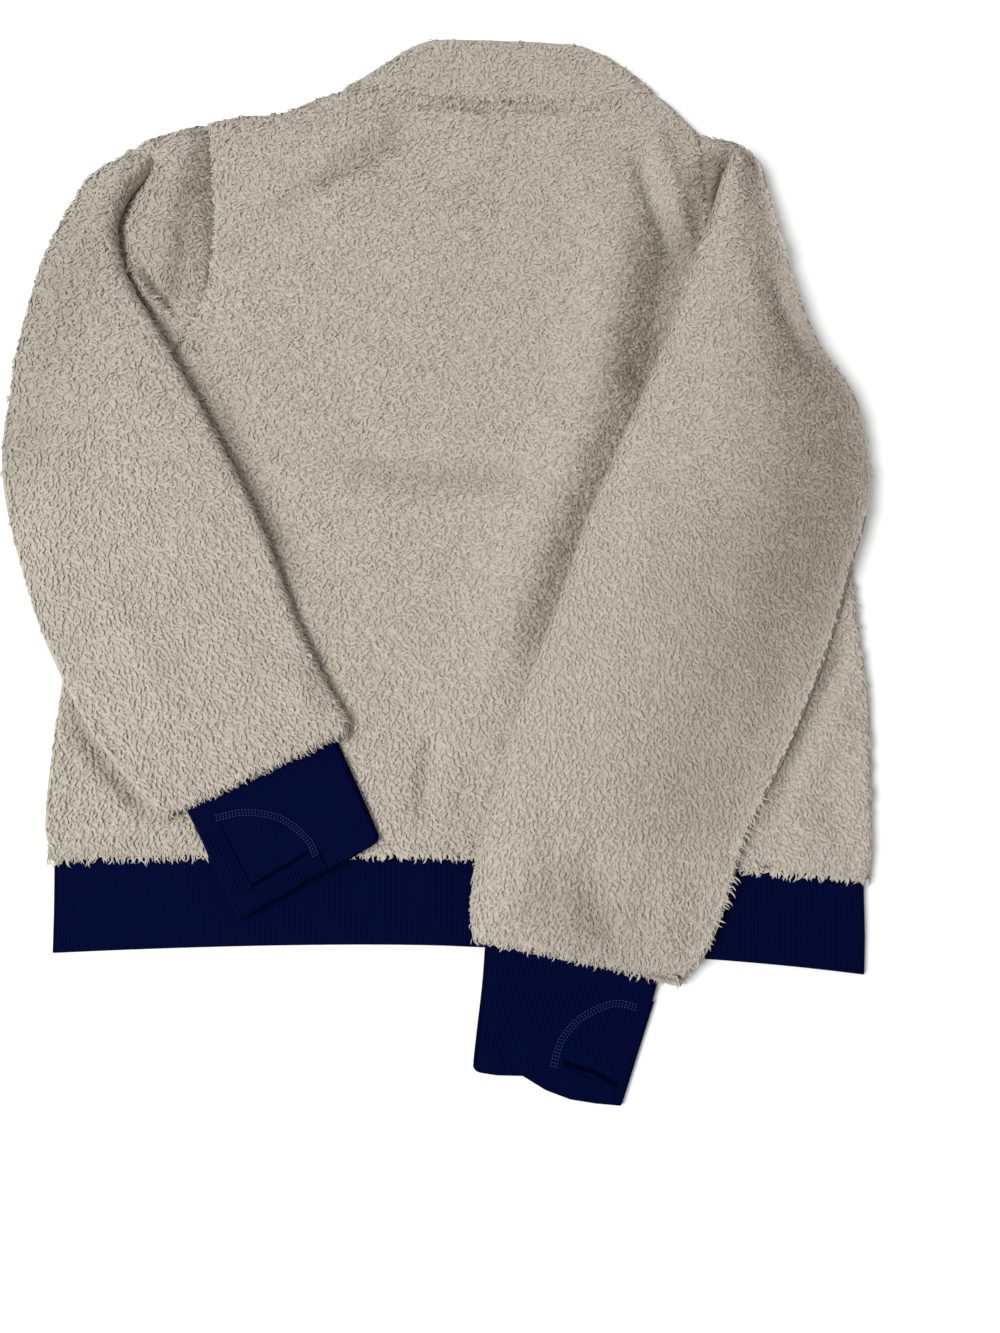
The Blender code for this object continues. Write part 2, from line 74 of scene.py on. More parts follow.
# The undersides of the front, and of a sleeve head or the collar: their height at the edge
# and how much lower they are inside it.
FRONT_EDGE, FRONT_DROP = 4.6, 4.0
LOW_EDGE, LOW_DROP = 5.0, 4.4
# The space between a sleeve or cuff and the cloth below it.
CLEARANCE = 0.8
FLEECE_WALL = 3.2
HEAD_WALL = FLEECE_WALL * 0.8
RIB_WALL = 1.6
# How far the second row of stitching is below the neck seam.
TOPSTITCH = 8.6

# -------- cutting sizes

Side = namedtuple("Side", "y left right")
BODY_SIDES = [
    Side(-112, -250, 260),
    Side(-98, -254.5, 262.5),
    Side(-60, -256, 263),
    Side(0, -255, 263),
    Side(60, -256, 257),
    Side(125, -256, 253),
    Side(185, -251, 249),
]

Armhole = namedtuple("Armhole", "under_x under_y shoulder_x shoulder_y hollow")
ARMHOLE_LEFT = Armhole(-251, 190, -201, 409, 42)
ARMHOLE_RIGHT = Armhole(249, 190, 153, 415, -36)
ARMHOLE_SKEW = 0.66

TopPoint = namedtuple("TopPoint", "x back_y front_y")
TOP_EDGE = [
    TopPoint(-201, 409, 408),
    TopPoint(-176, 416, 414),
    TopPoint(-150, 419, 417),
    TopPoint(-120, 434, 430),
    TopPoint(-103, 440, 434),
    TopPoint(-76, 441, 410),
    TopPoint(-40, 437.5, 397),
    TopPoint(8, 434.5, 392),
    TopPoint(56, 438, 398),
    TopPoint(92, 443, 408),
    TopPoint(120, 446, 434),
    TopPoint(153, 415, 414),
]
NECK_LEFT, NECK_RIGHT = -103, 120

HemRow = namedtuple("HemRow", "left right middle_y left_fall right_fall height")
HEM_ROWS = [
    HemRow(-247, 257, -104, 13, 4.5, 6.2),
    HemRow(-245, 257, -121, 13, 5.5, 6.0),
    HemRow(-243, 257, -140, 13.5, 6.5, 5.6),
    HemRow(-241, 256, -162, 14, 7, 5.2),
]
LEFT_HEM_CURVE, RIGHT_HEM_CURVE = 1.5, 3.2

CollarRow = namedtuple("CollarRow", "left_x left_y right_x right_y bow")
COLLAR_ROWS = [
    CollarRow(-103, 444, 120, 450, 0.0),
    CollarRow(-88, 456, 107, 462, 0.45),
    CollarRow(-73, 468, 94, 472, 0.75),
    CollarRow(-61, 477, 82, 478, 0.92),
    CollarRow(-49, 481.5, 69, 481.5, 1.0),
]
# How high the folded edge bows, how far the collar laps over the neck seams at the back
# and front, and how much lower the front's folded edge lies in the middle.
COLLAR_CREST = 6.2
BACK_LAP, FRONT_LAP = 1.4, 1.0
FRONT_BOW = 48
COLLAR_HEIGHT = 40.0

# A sleeve or cuff is a flattened tube: rings from edge to edge, with their heights.
Ring = namedtuple("Ring", "inner_x inner_y outer_x outer_y height")
SLEEVE_LEFT = [
    Ring(-233, 370, -247, 376, 7.0),
    Ring(-237, 357, -262, 366, 11.0),
    Ring(-246, 341, -276, 353, 12.4),
    Ring(-252, 318, -290, 320, 13.0),
    Ring(-247, 292, -301, 283, 13.2),
    Ring(-233, 264, -308, 240, 13.2),
    Ring(-212, 232, -313, 197, 12.6),
    Ring(-187, 192, -314, 148, 12.0),
    Ring(-160, 148, -302, 98, 11.4),
    Ring(-132, 97, -276, 37, 10.6),
    Ring(-106, 38, -240, -25, 9.8),
    Ring(-82, -5, -214, -58, 9.4),
    Ring(-70, -23, -191, -80, 9.0),
    Ring(-68, -32, -178, -90, 8.4),
]
SLEEVE_RIGHT = [
    Ring(174, 389, 187, 395, 7.0),
    Ring(167, 371, 194, 385, 11.0),
    Ring(160, 344, 200, 360, 12.4),
    Ring(150, 314, 208, 328, 13.2),
    Ring(140, 284, 217, 290, 13.4),
    Ring(128, 244, 233, 246, 13.4),
    Ring(112, 200, 258, 202, 13.4),
    Ring(95, 157, 264, 142, 13.4),
    Ring(78, 112, 250, 88, 13.4),
    Ring(62, 58, 231, 26, 13.4),
    Ring(44, 6, 207, -33, 13.4),
    Ring(28, -55, 181, -88, 13.0),
    Ring(17, -106, 168, -131, 12.8),
    Ring(14, -141, 157, -158, 12.0),
    Ring(17, -156, 143, -176, 10.0),
]
CUFF_LEFT = [
    Ring(-79, -30, -171, -77, 5.8),
    Ring(-66, -55, -155, -103, 5.8),
    Ring(-54, -78, -141, -129, 5.8),
    Ring(-43, -100, -127, -152, 5.4),
]
CUFF_RIGHT = [
    Ring(24, -158, 130, -178, 5.6),
    Ring(23, -184, 123, -205, 5.8),
    Ring(21, -210, 115, -229, 5.8),
    Ring(19, -235, 109, -251, 5.4),
]

# What is sewn on the cuffs. A patch of rib lies between two lines of points.
RibPatch = namedtuple("RibPatch", "name rings side_a side_b rows pitch depth lift replaces")
RIB_PATCHES = [
    RibPatch("left_side_ribs", CUFF_LEFT, [(-160, -93), (-145.6, -90)],
             [(-127, -150.5), (-114, -142)], 12, 2.3, 0.5, 1.0, []),
    RibPatch("left_thumb_patch", CUFF_LEFT, [(-121, -129.5), (-106, -119.5), (-91, -109)],
             [(-142, -93), (-130, -89.6), (-118, -89.6), (-106, -92), (-96, -97.5),
              (-89, -104.5)], 10, 1.7, 0.25, 0.35, ["thumb_patch_left"]),
    # The slit is a dark strip of painted shade, where the thumb opening lies in shadow.
    RibPatch("left_thumb_slit", CUFF_LEFT, [(-121.5, -130.7), (-87, -108.7)],
             [(-120.6, -132.6), (-86, -110.6)], 4, 3.0, 0.0, 0.7, []),
    RibPatch("left_thumb_strap", CUFF_LEFT, [(-119, -135), (-80, -110)],
             [(-114.5, -143.5), (-75.5, -118.5)], 6, 2.3, 0.6, 1.9, []),
    RibPatch("right_side_ribs", CUFF_RIGHT, [(128, -190), (118, -192)],
             [(109.5, -250), (105.5, -249)], 12, 2.3, 0.4, 0.8, []),
    RibPatch("right_thumb_patch", CUFF_RIGHT, [(106, -236.5), (92, -230), (77, -226)],
             [(115.5, -196), (106, -195), (96, -198), (86, -203.5), (79, -211)],
             10, 1.7, 0.25, 0.35, ["thumb_patch_right"]),
    # The slit is a dark strip of painted shade, where the thumb opening lies in shadow.
    RibPatch("right_thumb_slit", CUFF_RIGHT, [(106.5, -238.3), (92, -231), (74, -226.3)],
             [(106.2, -240.6), (91.2, -233.6), (72.8, -229.3)], 4, 3.0, 0.0, 0.7, []),
    RibPatch("right_thumb_strap", CUFF_RIGHT, [(105.5, -240), (90, -236), (73, -231)],
             [(103.5, -249.5), (88, -245.5), (69, -240)], 6, 2.3, 0.4, 1.5, []),
]
ThumbSeam = namedtuple("ThumbSeam", "name rings line")
THUMB_SEAMS = [
    ThumbSeam("left_thumb_seam", CUFF_LEFT,
              [(-145, -91), (-130, -87), (-112, -88), (-99, -93), (-87, -103), (-82, -112),
               (-78, -118)]),
    ThumbSeam("right_thumb_seam", CUFF_RIGHT,
              [(116.5, -194), (106, -192), (95, -195), (83, -202), (74, -212), (70, -221),
               (68, -230)]),
]
# How far the open edge of each cuff runs out at even steps across it.
LEFT_CUFF_WAVE = [0, 0.5, -0.5, 0.5, 0]
RIGHT_CUFF_WAVE = [0, -1, -4, 1, 3, 2, 0]
CUFF_CORNER = 4.0

# The line where each sleeve's head is folded over, from its lower end to the shoulder.
HEAD_FOLD_LEFT = [(-286, 214), (-288, 262), (-282, 308), (-270, 347), (-248, 381)]
HEAD_FOLD_RIGHT = [(255, 216), (230, 254), (209, 302), (199, 350), (187, 399)]

# -------- folds in the cloth

# A fold is a soft ridge, or a trough where height is negative, along a line of points.
Fold = namedtuple("Fold", "line half_width height")
BACK_FOLDS = [
    Fold([(105, 414), (112, 386), (119, 361), (127, 336), (135, 313), (142, 294)], 8, -5.5),
    Fold([(117, 426), (126, 396), (135, 364), (142, 333), (146, 306)], 7, 4.5),
    Fold([(82, 412), (93, 363), (97, 320), (94, 277), (86, 217), (70, 165), (44, 90),
          (24, 20), (8, -60)], 25, 11.0),
    Fold([(138, 300), (124, 240), (104, 180), (82, 120), (60, 58), (42, -10)], 12, -4.5),
    Fold([(-42, 420), (-61, 403), (-82, 389), (-102, 373), (-124, 356)], 8, -8.0),
    Fold([(-58, 426), (-83, 410), (-108, 399), (-136, 390)], 9, 4.0),
    Fold([(-70, 380), (-96, 360), (-120, 336)], 14, 3.0),
    Fold([(-108, 372), (-140, 338), (-184, 296)], 6, -3.0),
    Fold([(-190, 232), (-168, 194), (-140, 143), (-116, 95), (-92, 50)], 8, -2.5),
    Fold([(-212, 254), (-200, 236), (-190, 216)], 5, 3.0),
    Fold([(-252, -20), (-214, -65), (-178, -96)], 5, -4.5),
    Fold([(264, 74), (242, 22), (216, -36), (194, -90)], 6, -4.5),
    Fold([(-12, -26), (-17, -54), (-18, -70), (-22, -92)], 7, -5.0),
    Fold([(-2, -40), (0, -66), (-8, -96)], 7, 1.8),
    Fold([(-96, 146), (-30, 142), (70, 150)], 12, -3.0),
    Fold([(-90, 172), (-30, 166), (60, 174)], 16, 1.6),
    Fold([(-80, 300), (-30, 330), (30, 336)], 26, 2.4),
    Fold([(-230, -60), (-190, -90), (-140, -96)], 13, 1.6),
    Fold([(200, -60), (232, -30), (250, 20)], 13, 1.6),
    Fold([(244, -20), (238, -60), (246, -96)], 12, -2.4),
]
SLEEVE_LEFT_FOLDS = [
    Fold([(-268, 322), (-286, 262), (-288, 200)], 18, 2.5),
    Fold([(-222, 196), (-250, 140), (-262, 90)], 18, -2.2),
    Fold([(-240, 60), (-200, 10), (-170, -40)], 13, 2.6),
    Fold([(-150, 90), (-130, 40), (-110, 0)], 16, -2.0),
    Fold([(-262, 18), (-232, -30), (-196, -66)], 8, -2.4),
    Fold([(-110, 20), (-96, -14), (-84, -36)], 9, 2.0),
]
SLEEVE_RIGHT_FOLDS = [
    Fold([(212, 306), (206, 284), (222, 250), (234, 222)], 10, -4.0),
    Fold([(176, 330), (186, 290), (196, 240), (200, 200)], 15, 2.5),
    Fold([(150, 250), (150, 200), (140, 150)], 15, -1.5),
    Fold([(252, 180), (236, 130), (216, 80)], 14, 2.4),
    Fold([(180, 150), (170, 90), (150, 30)], 20, -2.2),
    Fold([(120, 150), (112, 80), (96, 20)], 14, 2.0),
    Fold([(206, 40), (180, -10), (164, -60)], 13, 2.0),
    Fold([(50, -60), (46, -110), (52, -150)], 13, 2.4),
    Fold([(86, -90), (90, -130), (104, -168)], 12, -2.6),
    Fold([(140, -110), (134, -146), (126, -172)], 12, 2.4),
]
HEAD_LEFT_FOLDS = [
    Fold([(-250, 300), (-234, 277), (-219, 260), (-206, 246)], 5, 5.0),
    Fold([(-236, 296), (-225, 279), (-214, 264), (-201, 248)], 4, -4.5),
    Fold([(-214, 390), (-218, 360), (-216, 330)], 9, 1.6),
    Fold([(-204, 350), (-206, 320), (-204, 290)], 5, -1.4),
]
HEAD_RIGHT_FOLDS = [
    Fold([(168, 400), (163, 372), (157, 344)], 6, 2.5),
    Fold([(178, 392), (170, 370), (160, 346)], 5, -4.0),
]

# Painted shade, as bands like the folds: slopes turned from the light, grooves and seams.
BACK_PAINTED_SHADE = [
    Fold([(126, 366), (123, 320), (116, 277), (109, 240), (102, 208), (86, 165)], 19, 0.85),
    Fold([(100, 205), (84, 158), (66, 104), (46, 44), (30, -20)], 12, 0.4),
    Fold([(-254, -4), (-232, -40), (-204, -72), (-182, -92)], 6, 0.45),
    Fold([(258, 70), (236, 24), (210, -30), (190, -84)], 6, 0.4),
    Fold([(-110, 150), (-60, 146), (-10, 143), (60, 150)], 11, 0.34),
    Fold([(-198, 396), (-201, 350), (-204, 300), (-210, 262), (-226, 236)], 5, 0.6),
    Fold([(-48, 416), (-76, 392), (-112, 364), (-150, 330)], 8, 0.3),
    Fold([(-74, 439), (-40, 436), (8, 433), (56, 437), (88, 442)], 2.6, 0.5),
    Fold([(-64, 431), (-40, 429), (8, 426), (56, 430), (84, 434)], 2.0, 0.4),
    Fold([(152, 408), (151, 366), (147, 330), (140, 296)], 9, 0.75),
    Fold([(-216, 246), (-187, 200), (-153, 142), (-120, 82), (-98, 34)], 14, 0.5),
]
SLEEVE_LEFT_PAINTED_SHADE = [
    Fold([(-262, 340), (-290, 260), (-298, 170), (-280, 90)], 32, 0.3),
    Fold([(-236, 366), (-254, 330), (-250, 300)], 10, 0.25),
]
SLEEVE_RIGHT_PAINTED_SHADE = [
    Fold([(222, 330), (226, 250), (236, 180), (222, 110), (198, 40), (176, -20)], 42, 0.8),
    Fold([(196, 60), (172, 0), (150, -60), (134, -120)], 38, 0.35),
    Fold([(30, -120), (80, -140), (130, -150)], 22, 0.35),
]
HEAD_LEFT_PAINTED_SHADE = [
    Fold([(-214, 380), (-222, 330), (-220, 290), (-206, 240)], 26, 0.22),
    Fold([(-203, 396), (-206, 350), (-209, 300), (-213, 262), (-222, 240)], 7, 0.7),
]
HEAD_RIGHT_PAINTED_SHADE = [
    Fold([(172, 410), (164, 372), (152, 320)], 24, 1.1),
]

# -------- sheets and fineness

# The cut of what shows: width and length in metres, and its area; then what it rests on.
Sheet = namedtuple("Sheet", "name width length area held below")
SHEETS = [
    Sheet("back", 0.520, 0.571, 0.2525, "laid", ["front"]),
    Sheet("front", 0.520, 0.559, 0.2405, "laid", []),
    Sheet("left_sleeve", 0.340, 0.470, 0.1117, "folded", ["back", "left_sleeve_head"]),
    Sheet("right_sleeve", 0.380, 0.580, 0.1630, "folded", ["back", "hem_rib"]),
    Sheet("left_sleeve_head", 0.200, 0.225, 0.0352, "folded", []),
    Sheet("right_sleeve_head", 0.120, 0.220, 0.0195, "folded", []),
    Sheet("stand_collar", 0.450, 0.055, 0.0219, "laid", []),
    Sheet("hem_rib", 1.020, 0.059, None, "laid", []),
    Sheet("left_cuff", 0.215, 0.079, None, "laid", ["back", "hem_rib"]),
    Sheet("right_cuff", 0.215, 0.077, None, "laid", ["hem_rib"]),
]
ON_SHEET = {
    "back": ["back_pile_0", "back_pile_1", "back_pile_2", "hem_fringe"],
    "left_sleeve": ["left_sleeve_pile", "left_end_fringe", "left_side_fringe"],
    "right_sleeve": ["right_pile_upper", "right_pile_lower", "right_end_fringe",
                     "right_inner_fringe", "right_outer_fringe", "right_edge_pile"],
    "left_sleeve_head": ["left_head_pile"],
    "right_sleeve_head": ["right_head_pile"],
    "stand_collar": ["collar_pile"],
    "left_cuff": ["left_side_ribs", "left_thumb_patch", "left_thumb_slit",
                  "left_thumb_strap", "left_thumb_seam"],
    "right_cuff": ["right_side_ribs", "right_thumb_patch", "right_thumb_slit",
                   "right_thumb_strap", "right_thumb_seam"],
}

# How finely the cloth is made. QUARTER_ROUND spaces points round an edge of radius 1, and
# PANEL_SIDE is the outer columns' distances from a side. PANEL_TOP spreads the last rows
# between the even rows, which end at EVEN_ROWS_END, and the top edge.
QUARTER_ROUND = 1 - np.cos(np.linspace(0, np.pi / 2, 6)[:-1])
PANEL_WIDTH, SIDE_LENGTH, PANEL_ROUND = 520, 300, 5.5
PANEL_SIDE = np.array([0, 0.25, 1.0, 2.2, 4.0, 6.4, 9.2, 12.6])
PANEL_INNER = 17
PANEL_TOP = np.array([16, 13, 10.6, 9.6, 8.6, 7.6, 6.2, 4.4, 2.8, 1.4, 0.5, 0])
EVEN_ROWS_END, TOP_ROWS_SPAN = 389, 21.0
HEM_TUCK = 2.5
SLEEVE_ROWS, SLEEVE_STEP, SLEEVE_ROUND = 90, 5.2, 5.0
END_RING = 2.0
HEAD_ROWS = [0, 0.01, 0.03, 0.06, 0.1, 0.15, *np.linspace(0.2, 1, 20)]
HEAD_COLUMNS, HEAD_GAP = 66, 1.5
COLLAR_ROUND = 6.0
CUFF_ROWS = 15
SEAM_POINTS, SEAM_WIDTH = 40, 3.4
CURL_SPACING = 1.9

CAMERA_TARGET = (0.0259, 0.0167, 0)
CAMERA_RISE, CAMERA_TURN, CAMERA_DISTANCE = 76, 2.3, 0.842

# -------- curves and heights


def through(rows, count):
    """count rows on a smooth curve through rows, as an array."""
    rows = np.array(rows, float)
    last = len(rows) - 1
    at = np.linspace(0, last, count)
    span = np.minimum(at.astype(int), last - 1)
    t = (at - span)[:, None]
    p, q = rows[np.maximum(span - 1, 0)], rows[span]
    r, s = rows[span + 1], rows[np.minimum(span + 2, last)]
    bend = (2 * p - 5 * q + 4 * r - s) * t**2 + (3 * q - p - 3 * r + s) * t**3
    return 0.5 * (2 * q + (r - p) * t + bend)


def height_at(points, x):
    """The smooth curve through (x, y) points, in order of x, at each of x."""
    xs, ys = np.array(points, float).T
    slopes = np.gradient(ys, xs)
    span = np.clip(np.searchsorted(xs, x) - 1, 0, len(xs) - 2)
    width = xs[span + 1] - xs[span]
    t = np.clip((x - xs[span]) / width, 0, 1)
    return (
        (2 * t**3 - 3 * t**2 + 1) * ys[span]
        + (t**3 - 2 * t**2 + t) * slopes[span] * width
        + (3 * t**2 - 2 * t**3) * ys[span + 1]
        + (t**3 - t**2) * slopes[span + 1] * width
    )


def back_top(x):
    return height_at([(p.x, p.back_y) for p in TOP_EDGE], x)


def front_top(x):
    return height_at([(p.x, p.front_y) for p in TOP_EDGE], x)


def hem_line(row, x):
    """Height at x of one of the hem band's lines, which sag towards the sides."""
    edge = np.where(x < 0, row.left, row.right)
    drop = np.where(x < 0, row.left_fall, row.right_fall)
    curve = np.where(x < 0, LEFT_HEM_CURVE, RIGHT_HEM_CURVE)
    return row.middle_y - drop * np.abs(x / edge) ** curve


def armhole_at(armhole, share):
    """The point at a share of the way up an armhole's curved seam."""
    hollow = armhole.hollow * np.sin(np.pi * share**ARMHOLE_SKEW)
    x = armhole.under_x + (armhole.shoulder_x - armhole.under_x) * share + hollow
    return x, armhole.under_y + (armhole.shoulder_y - armhole.under_y) * share


def smooth(share):
    share = np.clip(share, 0, 1)
    return share * share * (3 - 2 * share)


def roll(distance, radius):
    """The height of a rounded edge, from 0 at the edge to 1 at radius inside it."""
    return np.sqrt(1 - (1 - np.clip(distance / radius, 0, 1)) ** 2)


def line_distance(xy, line, closed=False):
    """Each point's distance from a line of points, and how far along it that is."""
    line = np.array(line, float)
    if closed:
        line = np.vstack([line, line[:1]])
    best = np.full(len(xy), np.inf)
    along = np.zeros(len(xy))
    lengths = np.hypot(*(line[1:] - line[:-1]).T)
    done = 0.0
    for start, end, length in zip(line, line[1:], lengths):
        step = end - start
        t = np.clip(((xy - start) @ step) / max(length**2, 1e-9), 0, 1)
        gap = np.hypot(*(xy - start - t[:, None] * step).T)
        nearer = gap < best
        best = np.where(nearer, gap, best)
        along = np.where(nearer, (done + t * length) / lengths.sum(), along)
        done += length
    return best, along


def distance_outside(xy, outline):
    """How far each point is outside a closed outline; negative inside it."""
    inside = np.zeros(len(xy), bool)
    x, y = xy.T
    for (x0, y0), (x1, y1) in zip(outline, outline[1:] + outline[:1]):
        if y0 == y1:
            continue
        crosses = ((y0 > y) != (y1 > y)) & (x < x0 + (y - y0) * (x1 - x0) / (y1 - y0))
        inside ^= crosses
    gap = line_distance(xy, outline, closed=True)[0]
    return np.where(inside, -gap, gap)


def relief(xy, folds):
    """How far the folds lift or sink the cloth at each point."""
    height = np.zeros(len(xy))
    for fold in folds:
        line = through(fold.line, 4 * len(fold.line))
        gap, along = line_distance(xy, line)
        ends = smooth(along * 3.2) * smooth((1 - along) * 3.2)
        height += fold.height * ends * np.exp(-((gap / fold.half_width) ** 2))
    return height


def lumps(xy, size, height, seed):
    """Low uneven swells of the cloth: a few crossed waves of about that size."""
    rng = np.random.default_rng(seed)
    total = np.zeros(len(xy))
    for _ in range(7):
        angle, phase = rng.uniform(0, 2 * np.pi, 2)
        wave = 2 * np.pi / (size * rng.uniform(0.7, 1.6))
        across = xy @ np.array([math.cos(angle), math.sin(angle)])
        total += np.sin(across * wave + phase)
    return height * total / 4


def body_outline():
    share = np.linspace(0.06, 1, 16)
    right = list(zip(*armhole_at(ARMHOLE_RIGHT, share)))
    left = list(zip(*armhole_at(ARMHOLE_LEFT, share)))
    top = [(p.x, p.back_y) for p in reversed(TOP_EDGE[1:-1])]
    return (
        [(s.right, s.y) for s in BODY_SIDES]
        + right
        + top
        + left[::-1]
        + [(s.left, s.y) for s in reversed(BODY_SIDES)]
    )


def hem_outline():
    top, bottom = HEM_ROWS[0], HEM_ROWS[-1]
    x = np.linspace(top.left, top.right, 12)
    upper = list(zip(x, hem_line(top, x)))
    return upper + list(zip(x[::-1], hem_line(bottom, x[::-1])))


def head_outline(armhole, fold):
    seam = list(zip(*armhole_at(armhole, np.linspace(0, 1, 12))))
    return seam + fold[::-1]


def tube_outline(rings):
    inner = [(ring.inner_x, ring.inner_y) for ring in rings]
    return inner + [(ring.outer_x, ring.outer_y) for ring in rings[::-1]]


BODY_SHAPE = body_outline()
HEM_SHAPE = hem_outline()
HEAD_SHAPES = [
    head_outline(ARMHOLE_LEFT, HEAD_FOLD_LEFT),
    head_outline(ARMHOLE_RIGHT, HEAD_FOLD_RIGHT),
]
SLEEVE_SHAPES = [tube_outline(SLEEVE_LEFT), tube_outline(SLEEVE_RIGHT)]
CUFF_SHAPES = [tube_outline(CUFF_LEFT), tube_outline(CUFF_RIGHT)]


def collar_crest(share):
    """How far the collar's folded edge stands above the line between its two ends."""
    return COLLAR_CREST * np.sqrt(np.clip(4 * share * (1 - share), 0, 1))


def collar_outline():
    top = COLLAR_ROWS[-1]
    share = np.linspace(0, 1, 20)
    x = top.left_x + (top.right_x - top.left_x) * share
    neck_x = np.linspace(NECK_RIGHT, NECK_LEFT, 16)
    return (
        [(row.left_x, row.left_y) for row in COLLAR_ROWS[:-1]]
        + list(zip(x, top.left_y + collar_crest(share)))
        + [(row.right_x, row.right_y) for row in COLLAR_ROWS[-2::-1]]
        + list(zip(neck_x, back_top(neck_x) - BACK_LAP))
    )


COLLAR_SHAPE = collar_outline()
OVER_BODY = SLEEVE_SHAPES + CUFF_SHAPES


def level_then_fall(distance, level, reach):
    """1 up to a distance, and then down to 0 over reach."""
    return 0.5 + 0.5 * np.cos(np.pi * np.clip((distance - level) / reach, 0, 1))


def seat(xy, reach):
    """Top of what lies under a sleeve, eased down to the table within reach."""
    top = BAND_HEIGHT * level_then_fall(distance_outside(xy, HEM_SHAPE), 4, 16)
    for shape in [BODY_SHAPE] + HEAD_SHAPES:
        fall = level_then_fall(distance_outside(xy, shape), 6, reach)
        top = np.maximum(top, BODY_HEIGHT * fall)
    return top + CLEARANCE * np.clip(top / 2, 0, 1)


# -------- shells


def mark(mesh, label, values, kind="FLOAT"):
    """Keeps a number for each point of a mesh, or a direction, under a name."""
    layer = mesh.attributes.new(label, kind, "POINT")
    field = "value" if kind == "FLOAT" else "vector"
    layer.data.foreach_set(field, np.ravel(values).astype(np.float32))


def in_metres(grid):
    return ((grid.reshape(-1, 3) + BODY_MIDDLE) * MM).tolist()


def grid_mesh(name, grid, wrap=False, end_walls=False, **marks):
    """A mesh of quads over a grid of points; wrap joins each row's two ends.

    Each of marks is a number for every point, kept under its name for the materials.
    """
    rows, columns = grid.shape[:2]
    index = np.arange(rows * columns).reshape(rows, columns)
    if wrap:
        index = np.hstack([index, index[:, :1]])
    quads = np.stack([index[:-1, :-1], index[:-1, 1:], index[1:, 1:], index[1:, :-1]], -1)
    faces = quads.reshape(-1, 4).tolist()
    if end_walls:
        half = columns // 2
        ring = index[0, :columns]
        pairs = zip(ring[: half - 1], ring[1:half], ring[::-1][1:half], ring[::-1])
        faces += [[int(v) for v in pair] for pair in pairs]
    mesh = bpy.data.meshes.new(name)
    mesh.from_pydata(in_metres(grid), [], faces)
    for label, values in marks.items():
        mark(mesh, label, values)
    return mesh


def put(name, mesh):
    piece = bpy.data.objects.new(name, mesh)
    bpy.context.scene.collection.objects.link(piece)
    return piece


def plain(piece):
    """The piece's modifiers are worked into its mesh."""
    graph = bpy.context.evaluated_depsgraph_get()
    mesh = bpy.data.meshes.new_from_object(piece.evaluated_get(graph))
    piece.modifiers.clear()
    old, piece.data = piece.data, mesh
    bpy.data.meshes.remove(old)
    mesh.name = piece.name
    return piece


def flip_if_inside_out(mesh):
    """Turns the faces round if the outer surface looks inwards."""
    bm = bmesh.new()
    bm.from_mesh(mesh)
    bmesh.ops.recalc_face_normals(bm, faces=bm.faces)
    middle = sum((v.co for v in bm.verts), Vector()) / len(bm.verts)
    outward = 0.0
    for face in bm.faces:
        outward += (face.calc_center_median() - middle).dot(face.normal) * face.calc_area()
    if outward < 0:
        bmesh.ops.reverse_faces(bm, faces=bm.faces)
    bm.to_mesh(mesh)
    bm.free()


def keep_off_table(piece):
    points = np.empty(len(piece.data.vertices) * 3, np.float32)
    piece.data.vertices.foreach_get("co", points)
    points[2::3] = np.maximum(points[2::3], TABLE_GAP * MM)
    piece.data.vertices.foreach_set("co", points)
    piece.data.update()


def cloth(name, mesh, wall, material):
    """A shell of the cloth's thickness, laid inwards from the outer surface."""
    mesh.materials.append(material)
    piece = put(name, mesh)
    shell = piece.modifiers.new("cloth thickness", "SOLIDIFY")
    shell.thickness = wall * MM
    shell.offset = -1.0
    plain(piece)
    piece.data.shade_smooth()
    piece.data.set_sharp_from_angle(angle=math.radians(60))
    keep_off_table(piece)
    return piece


def across_row(length, near, start, columns):
    """Distances across a piece: those in near at both edges, and evenly between."""
    middle = np.linspace(start, length - start, columns)
    return np.concatenate([near, middle, (length - near)[::-1]])


def closed_ring(upper, lower):
    """A ring of a tube's points, across its upper side and back along its lower side."""
    return np.vstack([upper, lower[::-1][1:-1]])


def painted_shade_at(grid, bands):
    """How much painted shade each point gets, from 0 to 1."""
    return np.clip(relief(grid.reshape(-1, 3)[:, :2], bands), 0, 1)


def fleece_tube(name, grid, upper_columns, nap, wall, material):
    """A tube of fleece. Its upper side, the first columns, is where pile is set."""
    covered = np.zeros(grid.shape[:2])
    covered[:, :upper_columns] = 1
    # The upper side alone gets the painted shade, for the ground's material.
    shade = covered * painted_shade_at(grid, nap).reshape(covered.shape)
    mesh = grid_mesh(name, grid, wrap=True, end_walls=True, covered=covered, nap=shade)
    flip_if_inside_out(mesh)
    return cloth(name, mesh, wall, material)


def body_rows(count):
    """The left and right ends of the body's rows, and how far each is up the armhole."""
    rows = [(left, y, right, y, 0.0) for y, left, right in through(BODY_SIDES, count)]
    for share in np.linspace(0, 1, int(count * 0.8))[1:]:
        left, right = armhole_at(ARMHOLE_LEFT, share), armhole_at(ARMHOLE_RIGHT, share)
        rows.append((*left, *right, share))
    return np.array(rows)


